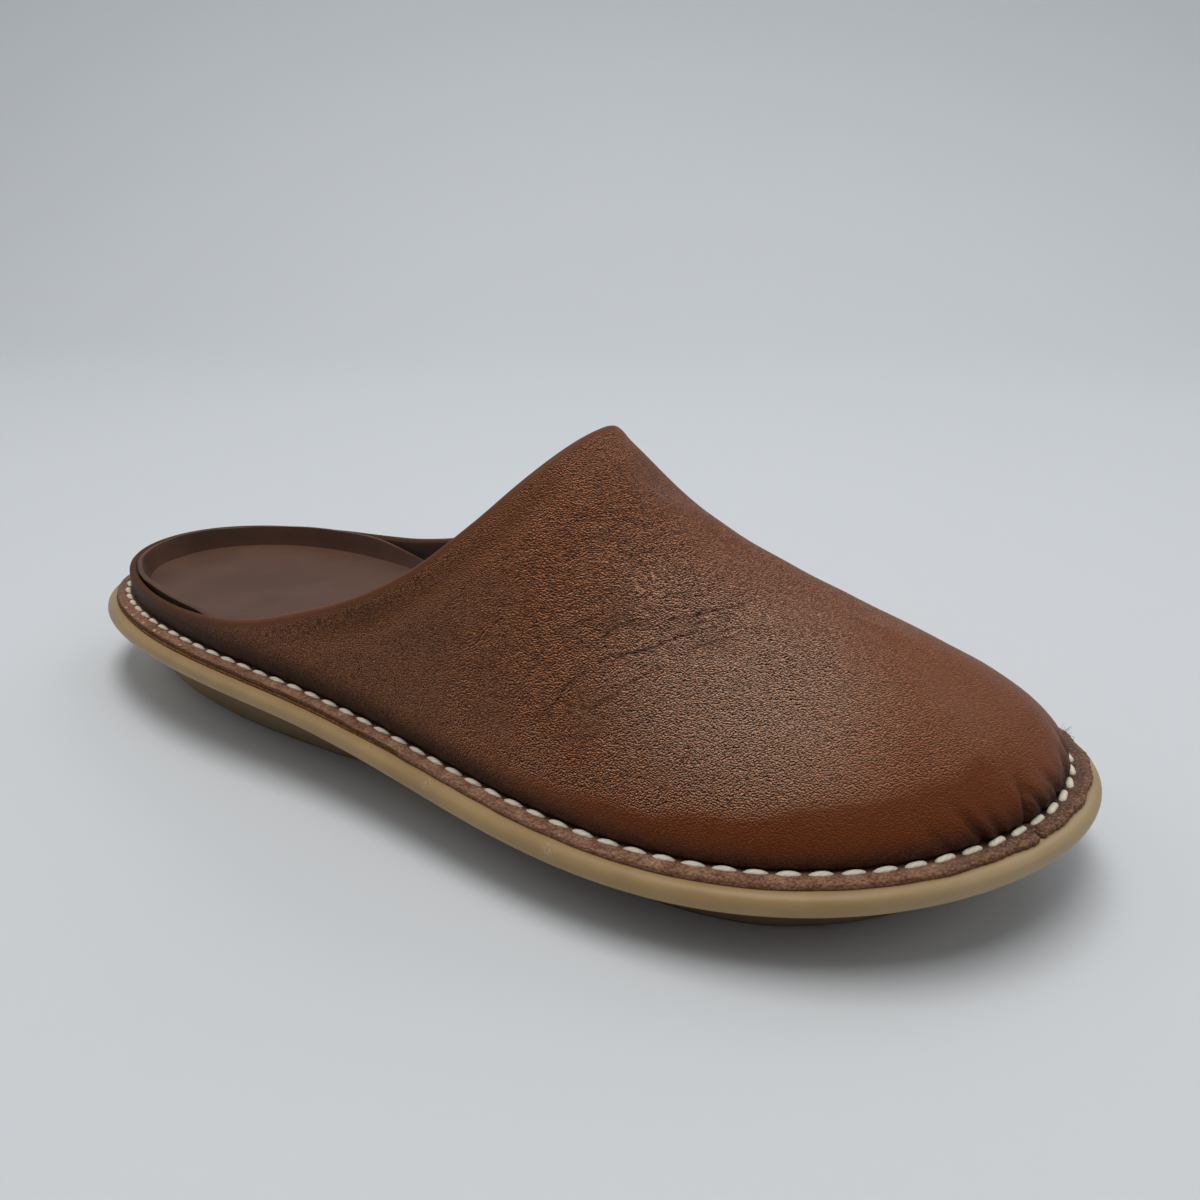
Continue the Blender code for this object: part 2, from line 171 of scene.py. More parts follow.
# ---------------------------------------------------------------- the shoe's own lines
@dataclass
class SolePlan:
    """The sole's edge in plan and the height of the feather line, from the same sizes as the solids."""

    length: float = 280.0
    heel_radius: float = 34.0
    toe_radius: float = 48.0
    toe_swing: float = 11.0
    # share of the length, distance to the outer edge, distance to the inner edge
    plan: Table = (
        (0.10, 35.8, 35.8),
        (0.20, 44.4, 42.6),
        (0.30, 47.2, 42.6),
        (0.40, 47.4, 41.2),
        (0.50, 49.6, 43.2),
        (0.60, 53.4, 48.0),
        (0.70, 55.6, 52.2),
        (0.80, 52.4, 53.2),
        (0.90, 39.3, 51.0),
    )
    # share of the length, height of the flange's top face over the ground
    edge: Table = ((0.0, 23.6), (0.2, 25.0), (0.4, 22.4), (0.6, 18.4), (0.75, 18.0), (0.9, 20.6), (1.0, 23.6))
    # depth of the rubber's top under that face at the heel and at the toe
    rubber_depths: tuple[float, float] = (1.85, 1.40)
    thinning: tuple[float, float] = (0.44, 0.58)  # shares of the length between which the board thins out

    def __post_init__(self) -> None:
        """Works out the curves and where the frame's origin lies."""
        shares, lateral, medial = np.array(self.plan).T
        self.middle = natural_spline([0, *shares, 1], [0, *(medial - lateral) / 2, self.toe_swing])
        turns = np.arccos(1 - 2 * shares)
        ends = [math.sqrt(radius * self.length / 2) for radius in (self.heel_radius, self.toe_radius)]
        fullness = (medial + lateral) / 2 / np.sin(turns)
        self.fullness = natural_spline([0, *turns, math.pi], [ends[0], *fullness, ends[1]])
        self.edge_height = natural_spline(*np.array(self.edge).T)
        round_it = self.outline(np.linspace(0, TAU, 2001))
        self.origin = np.array([*(round_it.max(axis=0) + round_it.min(axis=0)) / 2, 0.0])

    def outline(self, turn: Any) -> Array:
        """Points of the sole's outermost edge.

        Args:
            turn: one or many, in radians from the heel's tip along the outer side.

        Returns:
            The points, seen from above.
        """
        share = (1 - np.cos(turn)) / 2
        folded = np.abs((turn + math.pi) % TAU - math.pi)
        y = self.middle(share) - self.fullness(folded) * np.sin(turn)
        return np.stack([self.length * share, y], axis=-1)

    def outward(self, turn: Any) -> Array:
        """Unit normals of the sole's edge.

        Args:
            turn: one or many.

        Returns:
            The normals, pointing away from the shoe.
        """
        step = 1e-4
        along = self.outline(turn + step) - self.outline(turn - step)
        normal = np.stack([along[..., 1], -along[..., 0]], axis=-1)
        return normal / np.linalg.norm(normal, axis=-1, keepdims=True)

    def inset(self, turn: Any, distance: Any) -> Array:
        """The plan some distance inside the sole's edge."""
        return self.outline(turn) - self.outward(turn) * np.asarray(distance)[..., None]

    def feather(self, x: Any) -> Array:
        """Height of the flange's top face at a distance from the heel's tip."""
        return self.edge_height(np.asarray(x) / self.length)

    def thinned(self, x: Any) -> Array:
        """0 at the back, where the board shows, and 1 in front, where the flange covers it."""
        return fade(np.asarray(x) / self.length, *self.thinning)

    def rubber_top(self, x: Any) -> Array:
        """How far under the flange's top face the rubber starts, which is deeper at the back."""
        return self.rubber_depths[0] + (self.rubber_depths[1] - self.rubber_depths[0]) * self.thinned(x)

    def ring(self, turn: Array, distance: Any, height: Any) -> Array:
        """Points at an inset of the plan.

        Args:
            turn: the turn of each point.
            distance: inside the sole's edge, one or one for each point.
            height: over the feather line, one or one for each point.

        Returns:
            The points, in the drawing's millimetres.
        """
        flat = self.inset(turn, np.broadcast_to(distance, turn.shape))
        return np.column_stack([flat, self.feather(flat[:, 0]) + height])

    def world(self, points: Array) -> Array:
        """The drawing's millimetres as metres in the frame."""
        return (points - self.origin) * MM

    def runs(self, distance: float) -> tuple[Array, Array]:
        """Distance travelled along an inset of the plan.

        Args:
            distance: inside the sole's edge.

        Returns:
            Many turns from 0 to a full turn, and the distance travelled at each.
        """
        turn = np.linspace(0, TAU, 6001)
        flat = self.inset(turn, np.full(turn.shape, distance))
        steps = np.linalg.norm(np.diff(flat, axis=0), axis=1)
        return turn, np.concatenate([[0], np.cumsum(steps)])

    def turn_near(self, x: float, y: float) -> float:
        """The turn of the sole's edge nearest to a place.

        Args:
            x: of the place, in the frame's millimetres.
            y: the same.

        Returns:
            The turn.
        """
        turn = np.linspace(0, TAU, 6001)
        gap = np.linalg.norm(self.outline(turn) - self.origin[:2] - [x, y], axis=1)
        return float(turn[gap.argmin()])


@dataclass
class Last:
    """The form under the leather, drawn as sections from the feather line up to a spine."""

    plan: SolePlan
    crease_inset: float = 7.9
    spine_start: float = 44.0
    spine_end: float = 232.0
    ring: float = 0.75  # size of the chart's ellipse at the feather line
    aim_share: float = 0.35
    belly_span: float = 22.0
    # share of the spine, height, offset to the inner side, pinch, wall exponent, belly
    ridge: Table = (
        (0.00, 98.0, 0.0, 0.10, 2.2, 0.4),
        (0.35, 107.0, 2.0, 0.15, 2.3, 1.7),
        (0.55, 95.5, 6.0, 0.22, 2.1, 1.9),
        (0.65, 83.4, 8.0, 0.22, 2.0, 1.9),
        (0.70, 76.6, 8.0, 0.22, 2.0, 1.9),
        (0.77, 68.4, 8.0, 0.20, 2.0, 1.9),
        (0.88, 59.5, 8.0, 0.12, 2.0, 1.8),
        (1.00, 52.2, 8.0, 0.00, 1.9, 1.4),
    )
    # reach from the heel's tip, height of the collar's edge over the ground
    collar: Table = (
        (0.0, 31.0),
        (36.0, 30.8),
        (58.0, 31.4),
        (75.0, 32.8),
        (92.0, 36.1),
        (106.0, 40.6),
        (122.0, 46.9),
        (140.0, 57.0),
        (153.0, 68.8),
        (160.0, 77.8),
        (165.0, 84.8),
        (200.0, 125.0),
    )

    def __post_init__(self) -> None:
        """Works out the curves."""
        share, *columns = np.array(self.ridge).T
        curves = [natural_spline(share, values) for values in columns]
        self.height, self.offset, self.pinch, self.wall, self.belly = curves
        self.collar_height = steady_spline(*np.array(self.collar).T)

    def points(self, place: Array, bellied: bool = True) -> Array:
        """Points of the last's surface.

        Args:
            place: chart places, complex numbers whose segment from -1 to 1 is the spine.
            bellied: whether the side bellies out over its crease.

        Returns:
            The points, in the drawing's millimetres.
        """
        ring = np.arccosh(-np.asarray(place, complex))
        turn = ring.imag
        angle = np.clip(1 - np.abs(ring.real) / self.ring, 0, 1) * math.pi / 2
        share = (1 - np.cos(turn)) / 2
        foot = self.plan.inset(turn, np.full(turn.shape, self.crease_inset))
        ground = self.plan.feather(foot[..., 0])
        spine_x = self.spine_start + (self.spine_end - self.spine_start) * share
        spine = np.stack([spine_x, self.offset(share)], axis=-1)
        across = np.cos(angle) * (1 - self.pinch(share) * np.sin(angle) ** 2)
        flat = spine + (foot - spine) * across[..., None]
        full = self.height(share) + self.slope(share) * (flat[..., 0] - spine_x) - ground
        over_feather = full * np.sin(angle) ** (2 / self.wall(share))
        if bellied:
            rise = np.sqrt(np.clip(over_feather / self.belly_span, 0, 1))
            flat = flat + self.plan.outward(turn) * (self.belly(share) * np.sin(math.pi * rise))[..., None]
        return np.concatenate([flat, (ground + over_feather)[..., None]], axis=-1)

    def slope(self, share: Array) -> Array:
        """How steep the ridge is.

        Args:
            share: of the spine, one or many.

        Returns:
            Its rise for each millimetre along the spine.
        """
        step = 1e-3
        rise = self.height(share + step) - self.height(share - step)
        run = np.clip(share + step, 0, 1) - np.clip(share - step, 0, 1)
        return rise / run / (self.spine_end - self.spine_start)

    def line_to_collar(self, turn: float) -> Array:
        """One line up the wall, from the feather line to the collar.

        Args:
            turn: of its foot.

        Returns:
            Many chart places along it.
        """
        samples = np.linspace(0, 1, 901)
        foot = -np.cosh(self.ring + 1j * turn)
        aim = self.aim_share * (1 - math.cos(turn)) - 1
        reached = self.points(foot + (aim - foot) * samples)
        over = reached[:, 2] - self.collar_height(reached[:, 0])
        crossed = int(np.argmax(over > 0))
        end = crossed - over[crossed] / (over[crossed] - over[crossed - 1])
        return foot + (aim - foot) * samples**1.5 * end / (len(samples) - 1)


# ---------------------------------------------------------------- meshes
def only(piece: bpy.types.Object) -> None:
    """Selects one object and nothing else, and makes it the active one.

    Args:
        piece: the object.
    """
    if bpy.context.object and bpy.context.object.mode != "OBJECT":
        bpy.ops.object.mode_set(mode="OBJECT")
    bpy.ops.object.select_all(action="DESELECT")
    piece.select_set(True)
    bpy.context.view_layer.objects.active = piece


def points_of(piece: bpy.types.Object) -> Array:
    """The points of a piece, one in each row."""
    return np.array([point.co for point in piece.data.vertices])


def put_points(piece: bpy.types.Object, points: Array) -> None:
    """Moves the points of a piece to given places in metres."""
    piece.data.vertices.foreach_set("co", np.ascontiguousarray(points, np.float32).ravel())


def select_all_in_edit() -> None:
    """Opens the active piece for editing, with all of it selected."""
    bpy.ops.object.mode_set(mode="EDIT")
    bpy.ops.mesh.select_all(action="SELECT")


def join_all(pieces: Sequence[bpy.types.Object], name: str) -> bpy.types.Object:
    """Joins pieces into one.

    Args:
        pieces: the pieces. The first takes the others in.
        name: of what they make.

    Returns:
        The joined piece.
    """
    only(pieces[0])
    for piece in pieces:
        piece.select_set(True)
    bpy.ops.object.join()
    joined = bpy.context.object
    joined.name = joined.data.name = name
    return joined


def dress(piece: bpy.types.Object, *materials: bpy.types.Material) -> None:
    """Gives a piece its finishes in the order of its slots.

    Args:
        piece: the piece.
        materials: one for each slot.
    """
    piece.data.materials.clear()
    for material in materials:
        piece.data.materials.append(material)


def sheet_over(name: str, rows: Array) -> bpy.types.Object:
    """An open sheet over rows of points.

    Args:
        name: of the new object.
        rows: rows by columns by three, in metres.

    Returns:
        The object, with its points in the order of rows and then columns.
    """
    count, columns = rows.shape[:2]
    bpy.ops.object.select_all(action="DESELECT")
    bpy.ops.mesh.primitive_grid_add(x_subdivisions=columns - 1, y_subdivisions=count - 1)
    piece = bpy.context.object
    piece.name = piece.data.name = name
    put_points(piece, rows)
    return piece


def skin(name: str, rings: Array, closed: bool, columns: dict[str, Array] | None = None) -> bpy.types.Object:
    """A skin drawn over rings of points round the shoe, as a sheet whose edges are merged.

    Args:
        name: of the new object.
        rings: rings by stations by three, in metres.
        closed: whether the last ring joins the first, as round a wall with an inside and an outside.
        columns: numbers to keep for each point, by name, rings by stations.

    Returns:
        The object, with its faces in the order of rings and then stations.
    """
    wrap = ((0, int(closed)), (0, 1))
    piece = sheet_over(name, np.pad(rings, (*wrap, (0, 0)), mode="wrap"))
    for key, values in (columns or {}).items():
        store(piece, key, np.pad(values, wrap, mode="wrap"))
    only(piece)
    select_all_in_edit()
    bpy.ops.mesh.remove_doubles(threshold=1e-6)
    if closed:
        bpy.ops.mesh.normals_make_consistent(inside=False)
    bpy.ops.object.mode_set(mode="OBJECT")
    return piece


def close_across(piece: bpy.types.Object, stations: int) -> None:
    """Fills the two open ends of a skin with rungs from each station to the one across the shoe.

    Args:
        piece: an open skin whose stations run evenly round the shoe.
        stations: how many it has.
    """
    work = bmesh.new()
    work.from_mesh(piece.data)
    rims = [edge for edge in work.edges if edge.is_boundary]
    seen: set = set()
    for start in rims:
        if start in seen:
            continue
        loop, vert = [start.verts[0]], start.verts[1]
        edge = start
        seen.add(start)
        while vert is not loop[0]:
            loop.append(vert)
            edge = next(e for e in vert.link_edges if e.is_boundary and e is not edge)
            seen.add(edge)
            vert = edge.other_vert(vert)
        first = min(range(stations), key=lambda i: loop[i].co.x)
        loop = loop[first:] + loop[:first]
        for i in range(1, stations // 2 - 1):
            work.faces.new((loop[i], loop[i + 1], loop[stations - i - 1], loop[stations - i]))
        work.faces.new((loop[0], loop[1], loop[-1]))
        half = stations // 2
        work.faces.new((loop[half - 1], loop[half], loop[half + 1]))
    bmesh.ops.recalc_face_normals(work, faces=work.faces)
    work.to_mesh(piece.data)
    work.free()


def smooth_shade(piece: bpy.types.Object, angle: float = 180.0) -> None:
    """Shades a piece smooth.

    Args:
        piece: the piece.
        angle: in degrees. Edges sharper than this stay sharp.
    """
    only(piece)
    bpy.ops.object.shade_smooth()
    if angle < 180:
        bpy.ops.object.shade_smooth_by_angle(angle=math.radians(angle))


def apply_modifiers(piece: bpy.types.Object) -> None:
    """Applies all the modifiers of a piece in their order.

    Args:
        piece: the piece.
    """
    only(piece)
    for modifier in list(piece.modifiers):
        bpy.ops.object.modifier_apply(modifier=modifier.name)


def store(piece: bpy.types.Object, name: str, values: Array) -> None:
    """Keeps one number for each point of a piece, for its finish to read."""
    kept = piece.data.attributes.new(name, "FLOAT", "POINT")
    kept.data.foreach_set("value", np.ascontiguousarray(values, np.float32).ravel())


class Slot(Enum):
    """The record's material slots."""

    RUBBER = "rubber"
    LEATHER = "leather"
    BOARD = "board"
    SOCK = "sock_leather"
    THREAD = "thread"


def hand_over(piece: bpy.types.Object, slot: Slot, *nodes: str) -> None:
    """Puts a finished piece on the shoe's body.

    Args:
        piece: the piece, in place.
        slot: the record's slot for the piece. It is not used.
        nodes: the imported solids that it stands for.
    """
    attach(piece, "root")
    if nodes:
        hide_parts(*nodes)
    LOG.info("%s: %d faces", piece.name, len(piece.data.polygons))


# ---------------------------------------------------------------- shaders
class Flow:
    """A number on its way through a shader. Python's operators add Math nodes."""

    def __init__(self, bench: "Bench", socket: bpy.types.NodeSocket) -> None:
        """Wraps an output socket of a bench's node."""
        self.bench, self.socket = bench, socket

    def __add__(self, other: Any) -> "Flow":
        """self + other."""
        return self.bench.maths("ADD", self, other)

    __radd__ = __add__

    def __sub__(self, other: Any) -> "Flow":
        """self - other."""
        return self.bench.maths("SUBTRACT", self, other)

    def __rsub__(self, other: Any) -> "Flow":
        """other - self."""
        return self.bench.maths("SUBTRACT", other, self)

    def __mul__(self, other: Any) -> "Flow":
        """self * other."""
        return self.bench.maths("MULTIPLY", self, other)

    __rmul__ = __mul__

    def __truediv__(self, other: Any) -> "Flow":
        """self / other."""
        return self.bench.maths("DIVIDE", self, other)

    def __neg__(self) -> "Flow":
        """The same number with its sign turned."""
        return self.bench.maths("MULTIPLY", self, -1.0)

    def __abs__(self) -> "Flow":
        """The number without its sign."""
        return self.bench.maths("ABSOLUTE", self)


class Bench:
    """The nodes of one material."""

    def __init__(self, name: str, **constants: Any) -> None:
        """Starts a material.

        Args:
            name: of the material.
            constants: the shader's own sockets that are the same all over, with _ for each space.
        """
        self.material = bpy.data.materials.new(name)
        self.material.use_nodes = True
        self.tree = self.material.node_tree
        self.shader = self.tree.nodes["Principled BSDF"]
        for key, value in constants.items():
            self.shader.inputs[key.replace("_", " ")].default_value = value

    def node(self, kind: str, settings: dict[str, Any] | None = None, sockets: dict | None = None) -> Any:
        """Adds a node.

        Args:
            kind: the node's type, without ShaderNode.
            settings: its properties.
            sockets: values or flows by input name or number.

        Returns:
            The node.
        """
        made = self.tree.nodes.new("ShaderNode" + kind)
        for key, value in (settings or {}).items():
            setattr(made, key, value)
        for key, value in (sockets or {}).items():
            if isinstance(value, Flow):
                self.tree.links.new(value.socket, made.inputs[key])
            else:
                made.inputs[key].default_value = value
        return made

    def flow(self, made: Any, output: Any = 0) -> Flow:
        """One output of a node."""
        return Flow(self, made.outputs[output])

    def maths(self, operation: str, *values: Any) -> Flow:
        """One Math node."""
        return self.flow(self.node("Math", {"operation": operation}, dict(enumerate(values))))

    def step(self, value: Flow, low: float, high: float) -> Flow:
        """A soft step.

        Args:
            value: what is stepped.
            low: where the step is 0.
            high: where it is 1. Under low, the step falls.

        Returns:
            The step, from 0 to 1.
        """
        if low > high:
            return 1 - self.step(value, high, low)
        kind = {"interpolation_type": "SMOOTHSTEP", "clamp": True}
        return self.flow(self.node("MapRange", kind, {"Value": value, "From Min": low, "From Max": high}))

    def bell(self, value: Flow, middle: float, reach: float) -> Flow:
        """1 at the middle and 0 from a reach away."""
        return 1 - self.step(abs(value - middle), 0.0, reach)

    def attribute(self, name: str) -> Flow:
        """A number kept on the mesh."""
        return self.flow(self.node("Attribute", {"attribute_name": name}), "Fac")

    def place(self) -> Flow:
        """Object coordinates."""
        return self.flow(self.node("TexCoord"), "Object")

    def axis(self, vector: Flow, name: str) -> Flow:
        """One coordinate, X, Y or Z, of a vector."""
        return self.flow(self.node("SeparateXYZ", {}, {0: vector}), name)

    def vector(self, operation: str, *values: Any) -> Flow:
        """One Vector Math node."""
        return self.flow(self.node("VectorMath", {"operation": operation}, dict(enumerate(values))))

    def turned(self, vector: Flow, degrees: float, scale: Colour) -> Flow:
        """Coordinates turned about Z and then scaled along each axis.

        Args:
            vector: the coordinates.
            degrees: of the turn.
            scale: along X, Y and Z.

        Returns:
            The new coordinates.
        """
        sockets = {"Vector": vector, "Angle": math.radians(degrees)}
        round_z = self.node("VectorRotate", {"rotation_type": "Z_AXIS"}, sockets)
        return self.vector("MULTIPLY", self.flow(round_z), scale)

    def noise(self, vector: Flow, size: float, detail: float = 2.0, rough: float = 0.5) -> Flow:
        """Smooth noise whose lumps are about size millimetres, round 0.5."""
        sockets = {"Vector": vector, "Scale": 1 / (size * MM), "Detail": detail, "Roughness": rough}
        return self.flow(self.node("TexNoise", {}, sockets), 0)

    def cells(self, vector: Flow, size: float) -> Flow:
        """Distance to the middles of cells about size millimetres across, as a share of their size."""
        sockets = {"Vector": vector, "Scale": 1 / (size * MM)}
        return self.flow(self.node("TexVoronoi", {}, sockets), "Distance")

    def cell_edges(self, vector: Flow, size: float) -> Flow:
        """Distance to the edges of cells about size millimetres across, as a share of their size."""
        sockets = {"Vector": vector, "Scale": 1 / (size * MM)}
        return self.flow(self.node("TexVoronoi", {"feature": "DISTANCE_TO_EDGE"}, sockets), "Distance")

    def wandered(self, vector: Flow, size: float, amount: float) -> Flow:
        """Coordinates pushed about by noise.

        Args:
            vector: the coordinates.
            size: of the noise's lumps, in millimetres.
            amount: how far they are pushed, in millimetres.

        Returns:
            The pushed coordinates.
        """
        made = self.node("TexNoise", {}, {"Vector": vector, "Scale": 1 / (size * MM), "Detail": 1.0})
        push = self.vector("SUBTRACT", self.flow(made, 1), (0.5, 0.5, 0.5))
        return self.vector("ADD", vector, self.vector("MULTIPLY", push, (amount * MM,) * 3))

    def moved(self, vector: Flow, step: Colour, share: float) -> Flow:
        """Coordinates moved by a share of a step in millimetres."""
        return self.vector("ADD", vector, tuple(value * share * MM for value in step))

    def lit_side(self, shape: Callable[[Flow], Flow], vector: Flow, step: Colour) -> Flow:
        """Which side of a shape's lumps a place is on, for light and shade painted on them.

        Args:
            shape: gives how far below the tops of the lumps the skin lies at coordinates.
            vector: the coordinates.
            step: in millimetres, from the shaded side of a lump to its lit one.

        Returns:
            Over 0 on the lit side, under 0 on the shaded one.
        """
        return shape(self.moved(vector, step, 0.5)) - shape(self.moved(vector, step, -0.5))

    def near(self, vector: Flow, x: float, y: float, z: float) -> Flow:
        """Distance in millimetres from a place given in the frame's millimetres."""
        sockets = {0: vector, 1: (x * MM, y * MM, z * MM)}
        return self.flow(self.node("VectorMath", {"operation": "DISTANCE"}, sockets), "Value") / MM

    def spots(self, vector: Flow, table: Table) -> Flow:
        """Soft round spots.

        Args:
            vector: the coordinates.
            table: for each spot its x, y and z in the frame's millimetres, its reach and its strength.

        Returns:
            All of them together.
        """
        return sum(self.bell(self.near(vector, *spot), 0.0, reach) * much for *spot, reach, much in table)

    def blend(self, factor: Any, first: Any, second: Any) -> Flow:
        """Two colours blended.

        Args:
            factor: 0 for the first, 1 for the second.
            first: a colour or a flow of one.
            second: the other.

        Returns:
            The blended colour.
        """
        colours = [(*c, 1.0) if isinstance(c, tuple) else c for c in (first, second)]
        kind = {"data_type": "RGBA", "clamp_factor": True}
        return self.flow(self.node("Mix", kind, {0: factor, 6: colours[0], 7: colours[1]}), 2)

    def colour(self, flow: Flow) -> None:
        """Sets what the base colour is."""
        self.tree.links.new(flow.socket, self.shader.inputs["Base Color"])

    def roughness(self, flow: Flow) -> None:
        """Sets what the roughness is, kept between 0.05 and 1."""
        kept = self.maths("MAXIMUM", self.maths("MINIMUM", flow, 1.0), 0.05)
        self.tree.links.new(kept.socket, self.shader.inputs["Roughness"])

    def relief(self, *heights: Flow) -> None:
        """Sets the normal, with one Bump node for each height.

        Args:
            heights: in millimetres, coarse ones first.
        """
        normal = None
        for height in heights:
            sockets = {"Height": height, "Distance": MM, "Strength": 1.0}
            if normal is not None:
                sockets["Normal"] = normal
            normal = self.flow(self.node("Bump", {}, sockets))
        self.tree.links.new(normal.socket, self.shader.inputs["Normal"])


@dataclass(frozen=True)
class WallLeather:
    """Oiled grain leather of the vamp and rim with painted sheen on top, warm and dark where it is pulled
    tight.
    """

    brown: Colour = (0.184, 0.050, 0.016)
    light_cloud: Colour = (0.230, 0.077, 0.030)
    dark_cloud: Colour = (0.150, 0.042, 0.014)
    warm: Colour = (0.122, 0.024, 0.001)
    deep: Colour = (0.030, 0.010, 0.004)  # painted shade above the stitches and in the pleats
    hollow: Colour = (0.066, 0.016, 0.002)  # painted shade in the hollow under the collar's edge
    folded: Colour = (0.115, 0.042, 0.017)  # on the collar's edge
    # painted sheen over the ball of the vamp and faintly at the toe
    painted_sheen: Colour = (0.385, 0.225, 0.150)
    pale: Colour = (0.760, 0.425, 0.285)  # painted highlight on the pebbles' lit sides round the ball; also the chafed spots' colour
    pebble_highlight: Colour = (0.620, 0.265, 0.125)  # painted highlight on the pebbles' lit sides elsewhere
    # painted shade on the pebbles' shaded sides, in the gaps between them and in the folds and creases
    gap: Colour = (0.026, 0.007, 0.002)
    grain: float = 0.31  # size of a long pebble
    round_grain: float = 0.78  # size of a round pebble, as a share of a long one
    gap_grain: float = 2.2  # size of the net of gaps, as a share of a long pebble
    stretch: Colour = (0.72, 1.0, 1.0)  # squeezes the coordinates, so that pebbles run along the creases
    # middle of the paler painted highlights on the pebbles
    ball: tuple[float, float, float] = (74.0, -18.0, 52.0)
    # x, y and z, reach and strength of the spots of painted sheen and of the chafed spots
    painted_sheen_places: Table = ((78.0, -25.0, 42.0, 36.0, 1.0), (112.0, 0.0, 40.0, 24.0, 0.12))
    chafed_places: Table = ((50.4, -14.1, 60.4, 6.5, 0.8), (51.1, -18.4, 57.5, 5.0, 0.7))
    # creases in the flex zone: start and end along them, place across them, depth and half width
    creases: Table = (
        (4.0, 25.0, 53.6, 0.17, 0.5),
        (16.0, 44.0, 55.4, 0.18, 0.5),
        (10.0, 36.0, 58.6, 0.14, 0.5),
        (8.0, 22.0, 51.7, 0.10, 0.45),
        (22.0, 40.0, 57.0, 0.11, 0.45),
        (28.0, 46.0, 60.2, 0.10, 0.45),
        (20.0, 42.0, 61.8, 0.10, 0.5),
        (-4.0, 16.0, 57.4, 0.11, 0.5),
        (24.0, 40.0, 50.6, 0.10, 0.5),
        (2.0, 18.0, 49.8, 0.07, 0.5),
        (6.0, 24.0, 63.0, 0.07, 0.5),
    )
    crease_angle: float = 47.0  # of the creases from the foot's axis, towards the inner side
    upwards: Colour = (-0.05, 0.09, 0.13)  # over a pebble, from the side where shade is painted to the side where light is painted

    def make(self) -> bpy.types.Material:
        """Builds the material. It reads run, below, share, pleat and along from the mesh.

        Returns:
            The material.
        """
        b = Bench("wall_leather", Specular_IOR_Level=0.15)
        place = b.place()
        run, below, share, pleat = (b.attribute(name) for name in ("run", "below", "share", "pleat"))
        side = b.axis(place, "Y") / MM
        cloud = b.noise(place, 22.0, 3.0, 0.55)
        fine = b.noise(place, 3.0, 3.0, 0.6)

        # where the leather is pulled over the toe's edge, painted shade over the stitches, painted shade in the
        # hollow under the collar
        forefoot = b.step(share, 0.50, 0.72) * (b.step(side, 8.0, -14.0) + b.step(side, 28.0, 42.0) * 0.8)
        wavy_run = run + (b.noise(place, 9.0, 2.0) - 0.5) * 7.0
        pulled = b.step(wavy_run - b.step(share, 0.66, 0.86) * 6.0, 15.0, 9.0) * forefoot
        seam = b.step(run + (fine - 0.5) * 3.0 - b.step(share, 0.76, 0.50) * 4.5, 9.5, 1.0)
        # where shade is painted in the hollow under the collar's edge
        collar_shade = b.bell(below, 5.0, 5.4) * b.step(share, 0.36, 0.44) * b.step(side, -4.0, -16.0)

        # how strongly the grain shows
        open_grain = (1 - pulled * 0.9) * b.step(run, 3.0, 16.0) * b.step(below, 0.0, 2.0)
        open_grain = open_grain * (1 - b.step(share, 0.78, 0.90) * 0.6)
        inner = b.step(side - b.step(share, 0.74, 0.60) * 14.0, -20.0, 6.0)
        strength = 0.08 + open_grain * (1 - inner * 0.6) * (1 - collar_shade * 0.5)

        # the grain itself, drawn out into lines by the seam, and the folds and creases of the flex
        pushed = b.wandered(place, 2.0, 0.3)
        patch = b.step(b.noise(place, 14.0, 2.0) + b.step(share, 0.66, 0.42) * 0.5, 0.50, 0.80)
        sunk = self.pebbles(b, pushed, patch)
        # which side of each pebble gets painted light and which gets painted shade
        lit = b.lit_side(partial(self.pebbles, b, patch=patch), pushed, self.upwards)
        between = b.step(b.cell_edges(pushed, self.grain * self.gap_grain), 0.11, 0.0)
        pores = b.noise(b.turned(pushed, -self.crease_angle, self.stretch), 0.42, 2.0, 0.6)
        along = b.node("CombineXYZ", {}, {0: b.attribute("along") * 1.6, 1: run * 0.35})
        pulled_grain = b.noise(b.flow(along), 1000.0, 2.0, 0.6) * b.step(run, 16.0, 4.0)
        lengthwise = b.turned(b.wandered(place, 8.0, 3.0), -self.crease_angle, (0.20, 1.0, 1.0))
        flex = b.bell(share, 0.63, 0.22) * b.step(run, 14.0, 30.0) * b.step(below, 3.0, 14.0)
        fold = b.step(abs(b.noise(lengthwise, 1.7, 2.0) - 0.5), 0.05, 0.0) * flex
        crease = self.crease_relief(b, place)

        colour = b.blend(b.step(cloud, 0.35, 0.7) * 0.5, self.brown, self.light_cloud)
        colour = b.blend(b.step(fine, 0.35, 0.75) * 0.35, colour, self.dark_cloud)
        # painted sheen over the ball of the vamp and faintly at the toe
        colour = b.blend(b.spots(place, self.painted_sheen_places) * b.step(run, 12.0, 22.0), colour, self.painted_sheen)
        colour = b.blend(pulled * 0.85, colour, self.warm)
        # painted shade in the hollow under the collar's edge
        colour = b.blend(collar_shade * 0.8, colour, self.hollow)
        # painted shade over the stitches, where the wall meets the flange, and in the troughs of the pleats
        colour = b.blend(seam, colour, self.deep)
        colour = b.blend(pleat * 0.6, colour, self.deep)
        # painted highlight on the pebbles' lit sides, paler round the ball
        lit_side = b.blend(b.step(b.near(place, *self.ball), 44.0, 14.0), self.pebble_highlight, self.pale)
        colour = b.blend(b.step(lit, 0.04, 0.20) * strength, colour, lit_side)
        # painted shade on the pebbles' shaded sides and in the net of gaps between them
        colour = b.blend(b.step(lit, -0.02, -0.16) * strength, colour, self.gap)
        colour = b.blend(between * strength * 0.7, colour, self.gap)
